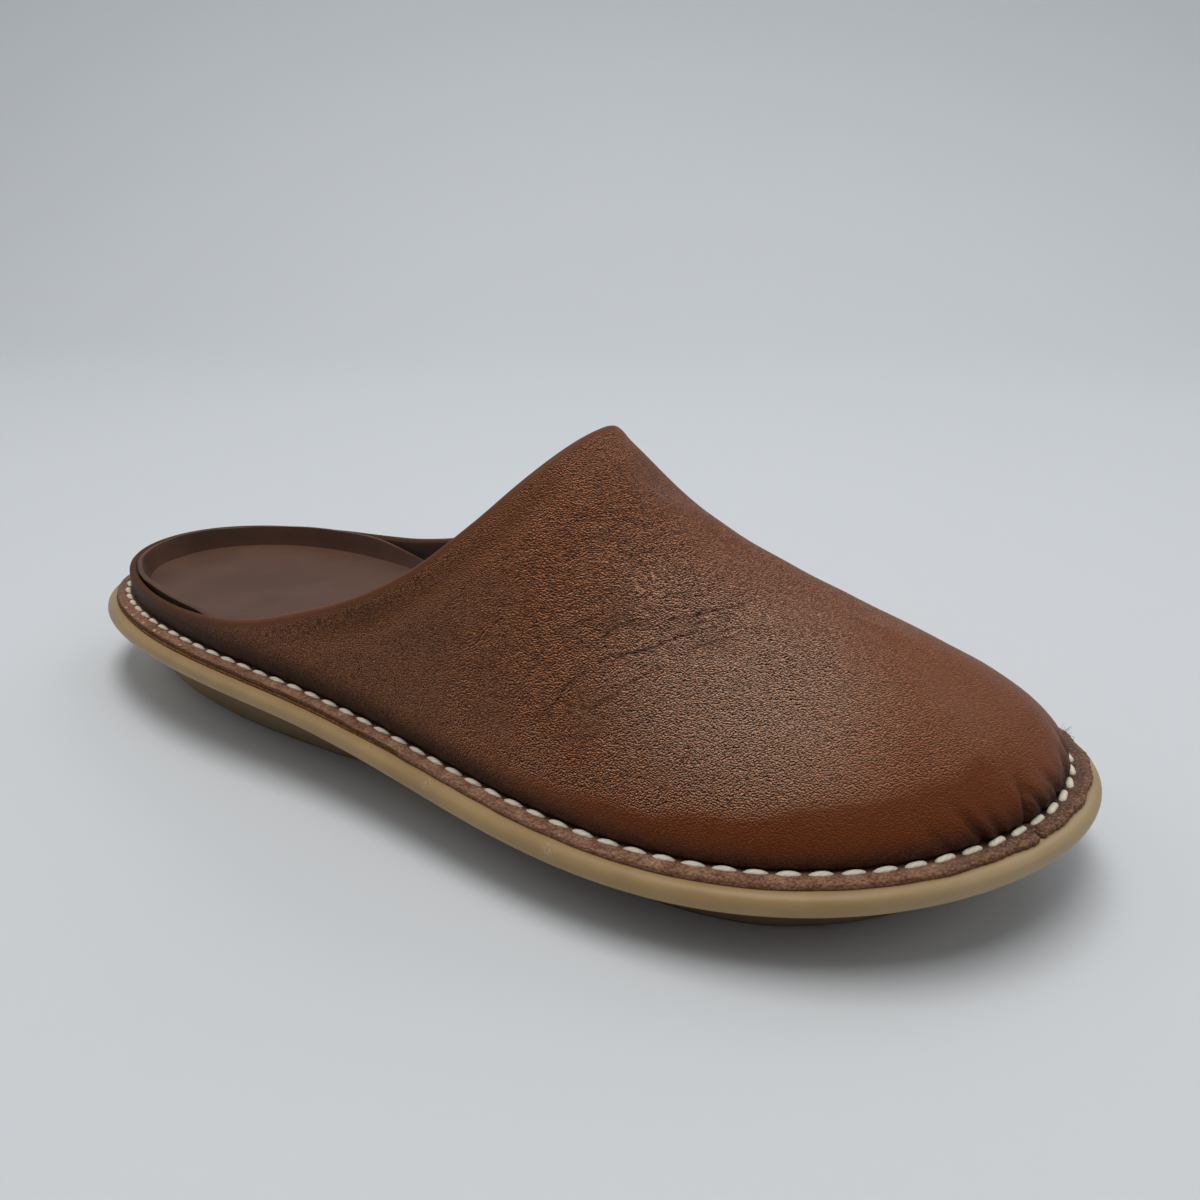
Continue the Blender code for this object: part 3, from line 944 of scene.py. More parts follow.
        # painted shade in the folds and creases of the flex
        colour = b.blend(fold * 0.45 - crease * 4.6, colour, self.gap)
        chafed = b.spots(place, self.chafed_places)
        dust = b.step(b.noise(place, 1.2, 2.0, 0.7), 0.5, 0.75)
        colour = b.blend(chafed * dust, colour, self.pale)
        b.colour(b.blend(b.step(below, 1.6, 0.2) * 0.5, colour, self.folded))

        grit = b.noise(place, 0.5, 2.0, 0.6) * 0.14 + b.step(cloud, 0.3, 0.7) * 0.05
        b.roughness(0.36 + grit + seam * 0.14 + chafed * 0.25 + collar_shade * 0.2)
        b.relief(crease * 1.6 - fold * 0.14 + pulled_grain * 0.12, (pores * 0.02 - sunk * 0.42) * strength)
        return b.material

    def pebbles(self, b: Bench, place: Flow, patch: Flow) -> Flow:
        """The grain: how far below the tops of its pebbles the skin lies, as a share of their size.

        Args:
            b: the material's bench.
            place: coordinates.
            patch: 1 where the pebbles are the small round ones, 0 where they are the long ones.

        Returns:
            The share.
        """
        long_ones = b.cells(b.turned(place, -self.crease_angle, self.stretch), self.grain)
        round_ones = b.cells(place, self.grain * self.round_grain)
        return long_ones * long_ones * (1 - patch) + round_ones * round_ones * patch * 1.1

    def crease_relief(self, b: Bench, place: Flow) -> Flow:
        """The few distinct creases across the flex of the vamp.

        Args:
            b: the material's bench.
            place: object coordinates.

        Returns:
            Their height in millimetres, below 0 in a crease.
        """
        warped = b.turned(b.wandered(place, 7.0, 2.2), -self.crease_angle, (1 / MM, -1 / MM, 1 / MM))
        along, across = b.axis(warped, "X"), b.axis(warped, "Y")
        broken = 0.35 + b.step(b.noise(place, 3.2, 1.0), 0.40, 0.62) * 0.75
        dents = 0.0
        for start, end, middle, depth, reach in self.creases:
            length = b.step(along, start, start + 5) * b.step(along, end, end - 7)
            dents = dents + b.bell(across, middle, reach) * length * broken * depth
        return -dents


@dataclass(frozen=True)
class FlangeLeather:
    """The turned-out edge of the upper: dry, pebbled and scuffed."""

    red: Colour = (0.215, 0.086, 0.047)
    tan: Colour = (0.400, 0.205, 0.125)
    scuffed: Colour = (0.36, 0.22, 0.13)
    cement: Colour = (0.52, 0.34, 0.17)
    heel: Colour = (0.130, 0.062, 0.034)
    toe: Colour = (0.070, 0.027, 0.014)
    torn: Colour = (0.36, 0.17, 0.06)
    lit: Colour = (0.47, 0.26, 0.16)
    shaded: Colour = (0.070, 0.024, 0.012)
    # painted shade at the foot of the wall, inside the stitches
    seam_foot_shade: Colour = (0.035, 0.014, 0.008)
    cut: Colour = (0.25, 0.12, 0.06)
    pebble: float = 0.75
    upwards: Colour = (-0.08, 0.14, 0.18)  # over a pebble, from its shaded side to its lit one

    def make(self) -> bpy.types.Material:
        """Builds the material. It reads inset and share from the mesh.

        Returns:
            The material.
        """
        b = Bench("flange_leather", Specular_IOR_Level=0.35)
        place, inset, share = b.place(), b.attribute("inset"), b.attribute("share")
        mottle = b.noise(place, 4.0, 3.0, 0.6)
        colour = b.blend(b.step(mottle, 0.3, 0.7), self.red, self.tan)
        scuff = b.step(b.noise(b.turned(place, 10, (0.5, 1.0, 1.0)), 0.9, 2.0, 0.65), 0.60, 0.72)
        colour = b.blend(scuff * 0.5, colour, self.scuffed)
        crumb = b.step(b.cells(place, 1.9), 0.24, 0.12) * b.step(b.noise(place, 4.0, 1.0), 0.50, 0.60)
        colour = b.blend(crumb * 0.8, colour, self.cement)
        colour = b.blend(b.step(share, 0.14, 0.04) * 0.55, colour, self.heel)
        at_toe = b.step(share, 0.90, 0.96)
        colour = b.blend(at_toe * 0.7, colour, self.toe)
        ragged = b.step(b.noise(place, 1.3, 2.0, 0.6), 0.50, 0.60) * b.step(inset, 4.4, 3.3) * at_toe
        colour = b.blend(ragged * 0.7, colour, self.torn)
        uneven = b.wandered(place, 1.5, 0.6)
        lit = b.lit_side(partial(b.cells, size=self.pebble), uneven, self.upwards)
        colour = b.blend(b.step(lit, 0.02, 0.30) * 0.35, colour, self.lit)
        colour = b.blend(b.step(lit, -0.02, -0.30) * 0.45, colour, self.shaded)
        # painted shade at the foot of the wall, inside the stitches
        colour = b.blend(b.step(inset, 6.2, 7.6) * 0.8, colour, self.seam_foot_shade)
        b.colour(b.blend(b.step(inset, 4.0, 3.2) * 0.35, colour, self.cut))
        b.roughness(0.46 + mottle * 0.25)
        lump = b.cells(uneven, self.pebble)
        cracks = b.step(abs(b.noise(b.wandered(place, 3.0, 1.5), 1.8, 2.0) - 0.5), 0.05, 0.0)
        b.relief(lump * lump * -0.42 - cracks * 0.12, b.noise(place, 0.4, 2.0, 0.6) * 0.12)
        return b.material


@dataclass(frozen=True)
class CutLeather:
    """A cut edge of leather, with its fibres showing."""

    name: str = "cut_edge"
    dark: Colour = (0.085, 0.034, 0.017)
    light: Colour = (0.23, 0.115, 0.055)

    def make(self) -> bpy.types.Material:
        """Builds the material.

        Returns:
            The material.
        """
        b = Bench(self.name, Specular_IOR_Level=0.2)
        place = b.place()
        layers = b.noise(b.turned(place, 0, (1.0, 1.0, 3.0)), 0.8, 3.0, 0.7)
        b.colour(b.blend(b.step(layers, 0.35, 0.68), self.dark, self.light))
        b.roughness(0.8 + layers * 0.15)
        b.relief(layers * 0.12)
        return b.material


@dataclass(frozen=True)
class FleshSide:
    """The inside of the upper's leather: matt and slightly fuzzy."""

    brown: Colour = (0.120, 0.062, 0.037)
    light: Colour = (0.165, 0.092, 0.058)
    dark: Colour = (0.085, 0.043, 0.026)

    def make(self) -> bpy.types.Material:
        """Builds the material.

        Returns:
            The material.
        """
        b = Bench("flesh_side", Specular_IOR_Level=0.2, Sheen_Weight=0.25, Sheen_Roughness=0.5)
        place = b.place()
        nap = b.noise(place, 1.1, 4.0, 0.7)
        cloud = b.noise(place, 14.0, 2.0, 0.5)
        colour = b.blend(b.step(nap, 0.3, 0.7) * 0.6, self.brown, self.light)
        b.colour(b.blend(b.step(cloud, 0.35, 0.7) * 0.4, colour, self.dark))
        b.roughness(0.82 + nap * 0.12)
        b.relief(nap * 0.08)
        return b.material


@dataclass(frozen=True)
class LiningLeather:
    """Smooth lining leather of the foot bed and of the strip inside the rim."""

    name: str = "lining_leather"
    brown: Colour = (0.115, 0.052, 0.030)
    shade: Colour = (0.070, 0.030, 0.017)
    worn: Colour = (0.150, 0.075, 0.045)
    rough: float = 0.46

    def make(self) -> bpy.types.Material:
        """Builds the material.

        Returns:
            The material.
        """
        b = Bench(self.name, Specular_IOR_Level=0.45)
        place = b.place()
        cloud = b.noise(place, 16.0, 3.0, 0.55)
        fine = b.noise(place, 1.4, 3.0, 0.6)
        colour = b.blend(b.step(cloud, 0.35, 0.68) * 0.6, self.brown, self.shade)
        b.colour(b.blend(b.step(fine, 0.45, 0.8) * 0.3, colour, self.worn))
        b.roughness(self.rough + fine * 0.16)
        grain = b.step(b.cell_edges(b.wandered(place, 2.0, 0.6), 0.7), 0.0, 0.3)
        b.relief(cloud * 0.25, grain * 0.025 + b.noise(place, 0.35, 1.0, 0.5) * 0.02)
        return b.material


@dataclass(frozen=True)
class SoleRubber:
    """Tan moulded rubber with a satin skin, handled and slightly scuffed."""

    name: str = "sole_rubber"
    painted_shade: bool = False  # painted shade on the side wall under the lip, darker forwards of the heel
    tan: Colour = (0.405, 0.264, 0.116)
    shade: Colour = (0.325, 0.204, 0.086)
    # paler tone of the mottle, and of the painted highlight at the toe and the heel
    pale: Colour = (0.47, 0.37, 0.24)
    scuffed: Colour = (0.62, 0.55, 0.43)
    # painted shade of the side wall under the lip
    grime: Colour = (0.108, 0.080, 0.058)
    # scuffs on the lip: x, y and z, reach and strength
    scuffs: Table = (
        (15.5, -48.9, 16.5, 2.2, 1.0),
        (17.6, -49.2, 16.3, 1.4, 1.0),
        (50.3, -53.0, 15.1, 2.4, 1.0),
        (-40.0, -47.2, 21.0, 2.0, 1.0),
    )

    def make(self) -> bpy.types.Material:
        """Builds the material.

        Returns:
            The material.
        """
        b = Bench(self.name, Specular_IOR_Level=0.25 if self.painted_shade else 0.42)
        place = b.place()
        cloud = b.noise(place, 18.0, 3.0, 0.55)
        fine = b.noise(place, 1.6, 3.0, 0.65)
        colour = b.blend(b.step(cloud, 0.35, 0.7) * 0.7, self.tan, self.shade)
        colour = b.blend(b.step(fine, 0.55, 0.8) * 0.25, colour, self.pale)
        marks = b.spots(place, self.scuffs)
        streak = b.step(b.noise(b.turned(place, 30, (0.25, 1.0, 1.0)), 0.35, 2.0, 0.7), 0.52, 0.62)
        colour = b.blend(marks * streak * 0.9, colour, self.scuffed)
        forward = b.axis(place, "X") / MM
        # painted highlight, paler at the toe and at the back of the heel
        tip_highlight = b.step(forward, 95.0, 135.0) * 0.4 + b.step(forward, -95.0, -130.0) * 0.3
        colour = b.blend(tip_highlight, colour, self.pale)
        if self.painted_shade:
            # painted shade on the side wall under the lip, darkest under the ball
            dark = b.step(forward, -105.0, -70.0) * 0.50 + b.step(forward, 0.0, 40.0) * 0.22
            colour = b.blend(dark + 0.22 - fine * 0.15, colour, self.grime)
        b.colour(colour)
        b.roughness(0.34 + fine * 0.12 + cloud * 0.06 + marks * 0.2 + (0.35 if self.painted_shade else 0.0))
        b.relief(cloud * 0.10, fine * 0.02 + marks * streak * -0.08)
        return b.material


@dataclass(frozen=True)
class WaxedThread:
    """Thick cream thread, twisted from three plies."""

    cream: Colour = (0.90, 0.83, 0.68)
    # painted shade between the plies, and the thread's grime
    shade: Colour = (0.66, 0.55, 0.40)

    def make(self) -> bpy.types.Material:
        """Builds the material. It reads the UV map of each stitch.

        Returns:
            The material.
        """
        b = Bench("waxed_thread", Specular_IOR_Level=0.35)
        flat = b.flow(b.node("UVMap"))
        twist = b.maths("SINE", (b.axis(flat, "X") * 3.0 + b.axis(flat, "Y") * 5.0) * TAU) * 0.5 + 0.5
        place = b.place()
        fuzz = b.noise(place, 0.5, 3.0, 0.7)
        grime = b.noise(place, 7.0, 2.0, 0.5)
        # painted shade in the grooves between the plies
        colour = b.blend((1 - twist) * 0.28, self.cream, self.shade)
        b.colour(b.blend(b.step(grime, 0.45, 0.8) * 0.35, colour, self.shade))
        b.roughness(0.58 + fuzz * 0.2)
        b.relief(twist * 0.05, fuzz * 0.04)
        return b.material


# ---------------------------------------------------------------- the shoe
@dataclass
class Seam:
    """The row of stitches that holds the flange down."""

    plan: SolePlan
    inset: float = 6.35
    pitch: float = 5.95
    start: tuple[float, float] = (83.7, -43.3)  # a place where one stitch has its middle
    length: float = 5.3
    thickness: float = 1.46
    arch: float = 0.58  # how high the middle of a stitch stands over its ends
    bow: float = 0.34  # how far its middle leans to the wall

    def __post_init__(self) -> None:
        """Spreads the stitches evenly round the shoe."""
        self.turns, self.travel = self.plan.runs(self.inset)
        self.round = float(self.travel[-1])
        self.count = round(self.round / self.pitch)
        self.pitch = self.round / self.count
        self.first = self.run_of(self.plan.turn_near(*self.start))

    def run_of(self, turn: Any) -> Any:
        """Distance along the seam at a turn."""
        return np.interp(turn, self.turns, self.travel)

    def phase(self, turn: Any) -> Array:
        """0 in the middle of a stitch and 0.5 at a hole between two stitches."""
        return (self.run_of(turn) - self.first) / self.pitch % 1.0

    def build(self) -> bpy.types.Object:
        """Models one stitch and sets a copy of it at each place.

        Returns:
            All the stitches as one piece.
        """
        bpy.ops.object.select_all(action="DESELECT")
        bpy.ops.mesh.primitive_uv_sphere_add(segments=14, ring_count=12, radius=1.0)
        model = bpy.context.object
        model.data.transform(Matrix.Rotation(math.pi / 2, 4, "Y"))
        sphere = points_of(model)
        noise = np.random.default_rng(7)
        stitches = []
        for number in range(self.count):
            run = (self.first + number * self.pitch) % self.round
            turn = float(np.interp(run, self.travel, self.turns))
            stitch = bpy.data.objects.new(f"stitch_{number}", model.data.copy())
            put_points(stitch, self.plan.world(self.stitch_points(sphere, turn, noise)))
            bpy.context.scene.collection.objects.link(stitch)
            stitches.append(stitch)
        bpy.data.objects.remove(model)
        seam = join_all(stitches, "seam_thread")
        smooth_shade(seam)
        dress(seam, WaxedThread().make())
        hand_over(seam, Slot.THREAD)
        return seam

    def stitch_points(self, sphere: Array, turn: float, noise: np.random.Generator) -> Array:
        """One stitch: a pointed grain along the sides and a blunter, straighter one at the toe.

        Args:
            sphere: points of a unit sphere whose poles lie along X.
            turn: where the middle of the stitch is.
            noise: gives the small differences from stitch to stitch.

        Returns:
            Its points, in the drawing's millimetres.
        """
        along = np.sign(sphere[:, 0]) * np.abs(sphere[:, 0]) ** 0.82
        reached = np.clip(np.abs(along), 0, 1)
        circle = sphere[:, 1:] / np.sqrt(np.clip(1 - sphere[:, 0] ** 2, 1e-6, 1))[:, None]
        pointed, blunt = (1 - reached**2) ** 0.62, (1 - reached**6) ** 0.5
        toe = float(fade(math.sin(turn / 2), 0.93, 0.985))
        heel = float(fade(math.cos(turn / 2), 0.85, 0.98))
        reach = (self.length - 0.75 * toe - 0.9 * heel + noise.normal(0, 0.10)) / 2
        fat = self.thickness / 2 * (1 + 0.08 * toe + noise.normal(0, 0.04))
        slant = math.radians(4 + 5 * toe + noise.normal(0, 2.0))
        girth = pointed + (blunt - pointed) * (0.25 + 0.75 * toe)
        local = np.column_stack([along * reach, circle * girth[:, None] * [fat, fat * 0.85]])
        rise = 1 - along**2
        local[:, 1] -= self.bow * (1 - toe) * rise - 0.12
        local[:, 2] += self.arch * (1 - 0.55 * toe) * rise - 0.42 + 0.22 * toe
        x = local[:, 0] * math.cos(slant) - local[:, 1] * math.sin(slant)
        y = local[:, 0] * math.sin(slant) + local[:, 1] * math.cos(slant)
        frame_of = self.frame_at(turn)
        return np.column_stack([x, y, local[:, 2]]) @ frame_of[:3] + frame_of[3]

    def frame_at(self, turn: float) -> Array:
        """The seam's own axes at a turn.

        Args:
            turn: where.

        Returns:
            Directions along, out of and up from the flange, and the seam's point, as rows.
        """
        at = np.array([turn - 0.01, turn, turn + 0.01])
        before, point, after = self.plan.ring(at, self.inset, 0.0)
        along = (after - before) / np.linalg.norm(after - before)
        out = np.array([*self.plan.outward(turn), 0.0])
        up = np.cross(out, along)
        up = up * np.sign(up[2]) / np.linalg.norm(up)
        return np.array([along, np.cross(up, along), up, point])


@dataclass
class Upper:
    """The hollow leather upper with its flange, pleats and folded collar."""

    plan: SolePlan
    last: Last
    seam: Seam
    leather: float = 1.2
    hem: float = 1.1
    hem_depth: float = 7.0
    flange_inset: float = 3.1
    stations: int = 520
    rows: int = 60
    # pleats at the toe: x and y of the foot on the seam, depth, half width, length up the wall, lean
    pleats: Table = (
        (128.7, -6.0, 1.05, 0.85, 14.0, 0.62),
        (131.3, 0.9, 0.75, 0.80, 12.0, -0.20),
        (126.2, -11.1, 0.60, 0.75, 10.0, 0.08),
        (123.8, -14.6, 0.85, 0.90, 14.0, 0.11),
        (132.4, 7.9, 0.60, 0.85, 11.0, -0.32),
        (119.8, -21.0, 0.40, 1.30, 12.0, 0.05),
        (132.4, 13.0, 0.45, 0.95, 10.0, 0.10),
        (131.0, 20.0, 0.60, 1.00, 12.0, -0.10),
        (127.8, 28.6, 0.45, 1.10, 11.0, 0.0),
    )
    # soft troughs across the vamp: x and y of both ends, depth, half width
    troughs: Table = (
        (42.0, -36.0, 54.5, -17.5, 0.28, 2.6),
        (52.0, -29.0, 69.5, -3.5, 0.32, 2.6),
        (50.0, -32.5, 68.0, -14.0, 0.18, 2.6),
        (24.0, -30.0, 38.5, -8.0, 0.16, 3.4),
    )
    # places where the vamp stands prouder or flatter: x, y, reach, how much
    swells: Table = ((39.0, 12.0, 9.0, -2.6), (83.0, 11.5, 11.0, -1.1), (110.0, 18.5, 11.0, 1.2))
    notch: tuple[float, float] = (132.2, -7.4)  # x and y of the cut in the flange's edge
    notch_reach: float = 0.42
    notch_depth: float = 2.6
    hump: tuple[float, float] = (5.35, 0.75)  # inset and reach of the rise outside the stitches
    hole_reach: float = 0.80  # how far along the seam a sewing hole lifts the leather

    def station_turns(self) -> Array:
        """Spreads the stations, closest together at the toe, where the pleats are.

        Returns:
            The turn of each.
        """
        turns = np.linspace(0, TAU, 4001)
        passed = np.cumsum(1 + 2.2 * bump_at(turns, 3.05, 0.5))
        passed = (passed - passed[0]) / (passed[-1] - passed[0])
        return np.interp(np.arange(self.stations) / self.stations, passed, turns)

    def wall_places(self, length: float) -> Array:
        """Spreads the rows, close together at the two edges and wider between.

        Args:
            length: of the wall from the crease to the collar.

        Returns:
            The distance of each row from the crease.
        """
        at = np.linspace(0, length, 801)
        step = np.minimum(0.55 + 0.09 * at, 0.6 + 0.10 * (length - at))
        passed = np.cumsum(1 / np.minimum(step, 2.4))
        passed = (passed - passed[0]) / (passed[-1] - passed[0])
        return np.interp(np.linspace(0, 1, self.rows), passed, at)

    def wall(self, turns: Array) -> tuple[Array, Array, Array, Array]:
        """The outer face of the wall before it is pleated and creased.

        Args:
            turns: one for each station.

        Returns:
            Points, unit normals, distances from the crease and distances from the collar, all by rows
            and stations.
        """
        shape = (self.rows, len(turns))
        rows, plain = np.empty((*shape, 3)), np.empty((*shape, 3))
        run, below = np.empty(shape), np.empty(shape)
        for i, turn in enumerate(turns):
            places = self.last.line_to_collar(float(turn))
            points, bare = self.last.points(places), self.last.points(places, bellied=False)
            steps = np.linalg.norm(np.diff(points, axis=0), axis=-1)
            travel = np.concatenate([[0], np.cumsum(steps)])
            wanted = self.wall_places(travel[-1])
            run[:, i], below[:, i] = wanted, travel[-1] - wanted
            for axis in range(3):
                rows[:, i, axis] = np.interp(wanted, travel, points[:, axis])
                plain[:, i, axis] = np.interp(wanted, travel, bare[:, axis])
        up = np.gradient(plain, axis=0)
        along = np.roll(plain, -1, axis=1) - np.roll(plain, 1, axis=1)
        normal = np.cross(along, up)
        normal /= np.linalg.norm(normal, axis=-1, keepdims=True)
        normal[0] = np.column_stack([self.plan.outward(turns), np.zeros(len(turns))])
        return rows, normal, run, below

    def relief(self, turns: Array, points: Array, run: Array, below: Array) -> tuple[Array, Array]:
        """How far the leather stands out of the plain wall.

        Args:
            turns: one for each station.
            points: the plain wall.
            run: distances from the crease.
            below: distances from the collar.

        Returns:
            The relief in millimetres, and how deep each point lies in a pleat from 0 to 1.
        """
        x, y = (points - self.plan.origin)[..., 0], (points - self.plan.origin)[..., 1]
        seam_run = self.seam.run_of(turns)[None, :]
        total, deep = self.pleated(seam_run, run)
        total += self.troughed(x, y)
        for sx, sy, reach, much in self.swells:
            total += much * np.exp(-((x - sx) ** 2 + (y - sy) ** 2) / reach**2) * fade(below, 0, 3)
        # the hollow under the collar's folded edge, and the edge's own roll
        tall = fade(run + below, 14.0, 26.0)
        total -= 0.65 * tall * bump_at(below, 5.2, 3.2) * (fade(-y, 3.0, 15.0) + fade(y, 22.0, 34.0))
        total += 0.20 * tall * bump_at(below, 1.2, 1.6)
        # the flatter inner side, and a wander all over
        total -= 1.1 * fade(y, -6.0, 8.0) * fade(x, 38.0, 60.0) * fade(run, 14, 34) * fade(below, 4, 20)
        total += 0.22 * unevenness(x, y, 34.0, 1.3) * fade(run, 2, 14) * fade(below, 2, 14)
        total += 0.08 * unevenness(x, y, 11.0, 4.1) * fade(run, 2, 10) * fade(below, 1, 8)
        # the pull of each stitch
        stitch = np.cos(TAU * self.seam.phase(turns))[None, :]
        total -= 0.22 * (0.5 + 0.5 * stitch) * bump_at(run, 1.2, 1.6)
        total += 0.10 * unevenness(seam_run + 0 * run, run, 9.0, 2.2) * bump_at(run, 2.0, 4.0)
        return total, deep

    def pleated(self, seam_run: Array, run: Array) -> tuple[Array, Array]:
        """The pleats that rise from the seam at the toe.

        Args:
            seam_run: distance along the seam of each station.
            run: distances from the crease.

        Returns:
            Their relief, and how deep each point lies in one of them.
        """
        total, deep = np.zeros_like(run), np.zeros_like(run)
        half_round = self.seam.round / 2
        for x, y, depth, reach, length, lean in self.pleats:
            foot = self.seam.run_of(self.plan.turn_near(x, y))
            aside = (seam_run - foot + half_round) % self.seam.round - half_round - lean * run
            width = reach * (1 + run / length * 0.7)
            trough = bump_at(aside, 0, width)
            shoulder = bump_at(np.abs(aside), 1.9 * width, 1.1 * width)
            up = (0.45 + 0.55 * fade(run, 0.0, 2.5)) * (1 - fade(run, length * 0.35, length))
            total += depth * up * (0.42 * shoulder - trough)
            deep = np.maximum(deep, trough * up * min(1.0, depth))
        return total, deep

    def troughed(self, x: Array, y: Array) -> Array:
        """The soft troughs where the vamp flexes, each with a shoulder along both sides.

        Args:
            x: of each point, in the frame's millimetres.
            y: the same.

        Returns:
            Their relief.
        """
        total = np.zeros_like(x)
        for x0, y0, x1, y1, depth, reach in self.troughs:
            line = np.array([x1 - x0, y1 - y0])
            span = float(np.linalg.norm(line))
            along = ((x - x0) * line[0] + (y - y0) * line[1]) / span
            aside = ((x - x0) * -line[1] + (y - y0) * line[0]) / span
            aside = aside + 0.8 * np.sin(along / 5.0 + x0)
            ends = fade(along, 0, 6) * (1 - fade(along, span - 6, span))
            shoulder = bump_at(np.abs(aside), 1.9 * reach, reach)
            total += depth * ends * (0.45 * shoulder - bump_at(aside, 0, reach))
        return total

    def flange(self, turns: Array) -> tuple[Array, Array, Array]:
        """Rings of the turned-out edge, from the underside of the cut edge in to the crease.

        Args:
            turns: one for each station.

        Returns:
            The rings, the inset of every point, and where the edge is rolled down over the board.
        """
        x = self.plan.outline(turns)[:, 0]
        seam_run = self.seam.run_of(turns)
        toe = fade(x / self.plan.length, 0.88, 0.98)
        inner_side = fade(np.sin(turns), 0.25, -0.35)
        rolled = self.plan.thinned(x)
        edge = self.flange_inset + (0.10 + 0.16 * toe) * unevenness(seam_run, 0 * x, 7.0, 0.7)
        edge = edge + 0.09 * toe * np.sin(seam_run * TAU / 1.9) - 0.9 * toe * inner_side
        aside = seam_run - self.seam.run_of(self.plan.turn_near(*self.notch))
        cut = bump_at(aside, 0, self.notch_reach)
        edge = edge + self.notch_depth * cut
        lift = 0.16 * fade(aside, -0.4, 0.4) * np.exp(-np.clip(aside, 0, None) / 3.5)
        width = self.last.crease_inset - edge
        from_hole = np.abs(self.seam.phase(turns) - 0.5) * self.seam.pitch
        at_hole = bump_at(from_hole, 0, self.hole_reach)
        rings, insets = [], []
        # share of the way in from the cut edge, height over the flange's top face, roll down over the board
        profile = (
            (0.012, -self.leather, 0.16),
            (0.0, -self.leather * 0.88, 0.16),
            (0.0, -0.30, 0.10),
            (0.02, -0.10, 0.10),
            (0.07, 0.0, 0.05),
            (0.16, 0.12, 0.0),
            (0.28, 0.24, 0.0),
            (0.40, 0.22, 0.0),
            (0.48, 0.12, 0.0),
            (0.56, -0.04, 0.0),
            (0.64, -0.14, 0.0),
            (0.74, -0.16, 0.0),
            (0.84, -0.12, 0.0),
            (0.93, -0.03, 0.0),
        )
        cut_face = 3
        for number, (share, height, roll) in enumerate(profile):
            inset = edge + width * share
            top = height - rolled * roll
            if number >= cut_face:
                front = bump_at(inset, *self.hump)
                top += lift * (1 - share) + 0.07 * unevenness(seam_run, inset * 2, 8.0, 3.3)
                top += front * (0.30 * at_hole + 0.14) - 0.7 * cut * (1 - share)
                top += 0.10 * at_hole * bump_at(inset, self.seam.inset, 0.7)
            rings.append(self.plan.ring(turns, inset, top))
            insets.append(inset)
        return np.array(rings), np.array(insets), rolled

    def build(self) -> bpy.types.Object:
        """Builds the upper as one closed wall.

        Returns:
            The piece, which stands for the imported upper.
        """
        turns = self.station_turns()
        plain, normal, run, below = self.wall(turns)
        relief, deep = self.relief(turns, plain, run, below)
        outer = plain + normal * relief[..., None]
        fold = np.clip(1 - below / self.hem_depth, 0, 1)
        thickness = self.leather + self.hem * fold**2 * (3 - 2 * fold)
        inner = outer - normal * thickness[..., None]
        inner[0, :, 2] = self.plan.feather(inner[0, :, 0]) - self.leather
        lip = self.collar_edge(outer, inner, thickness[-1])
        flange, flange_inset, rolled = self.flange(turns)
        kept = sorted({*range(0, self.rows, 3), self.rows - 1, self.rows - 2}, reverse=True)
        rings = np.concatenate([flange, outer, lip, inner[kept]])
        few, many = len(flange), len(lip)
        above = np.zeros((few, self.stations))
        edge = np.zeros((many, self.stations))
        columns = {
            "run": np.concatenate([above, run, np.repeat(run[-1:], many, axis=0), run[kept]]),
            "below": np.concatenate([above + 60, below, edge, below[kept]]),
            "inset": np.concatenate([flange_inset, np.full((len(rings) - few, self.stations), 9.0)]),
            "pleat": np.concatenate([above, deep, edge, deep[kept] * 0]),
            "along": np.repeat(self.seam.run_of(turns)[None, :], len(rings), axis=0),
            "share": rings[..., 0] / self.plan.length,
        }
        upper = skin("upper_leather", self.plan.world(rings), closed=True, columns=columns)
        dress(upper, WallLeather().make(), FlangeLeather().make(), CutLeather().make(), FleshSide().make())
        wall, flange_top, cut, flesh = range(4)
        row = np.arange(len(rings))
        bands = [row < 3, row < few, row < few + len(outer) + many - 1]
        kinds = np.repeat(np.select(bands, [cut, flange_top, wall], flesh)[:, None], self.stations, axis=1)
        kinds[1:3, rolled > 0.5] = flange_top
        upper.data.polygons.foreach_set("material_index", kinds.astype(np.int32).ravel())
        smooth_shade(upper)
        hand_over(upper, Slot.LEATHER, "upper")
        return upper

    def collar_edge(self, outer: Array, inner: Array, thickness: Array) -> Array:
        """Rounds the folded edge of the collar over.

        Args:
            outer: the wall's outer rows.
            inner: its inner rows.
            thickness: of the wall at the collar.

        Returns:
            Rings from the outside to the inside.
        """
        up = outer[-1] - outer[-2]
        up /= np.linalg.norm(up, axis=-1, keepdims=True)
        middle, half = (outer[-1] + inner[-1]) / 2, (outer[-1] - inner[-1]) / 2
        rings = []
        for angle in np.radians([25, 55, 90, 125, 155]):
            rise = up * (thickness * 0.42 * math.sin(angle))[:, None]
            rings.append(middle + half * math.cos(angle) + rise)
        return np.array(rings)


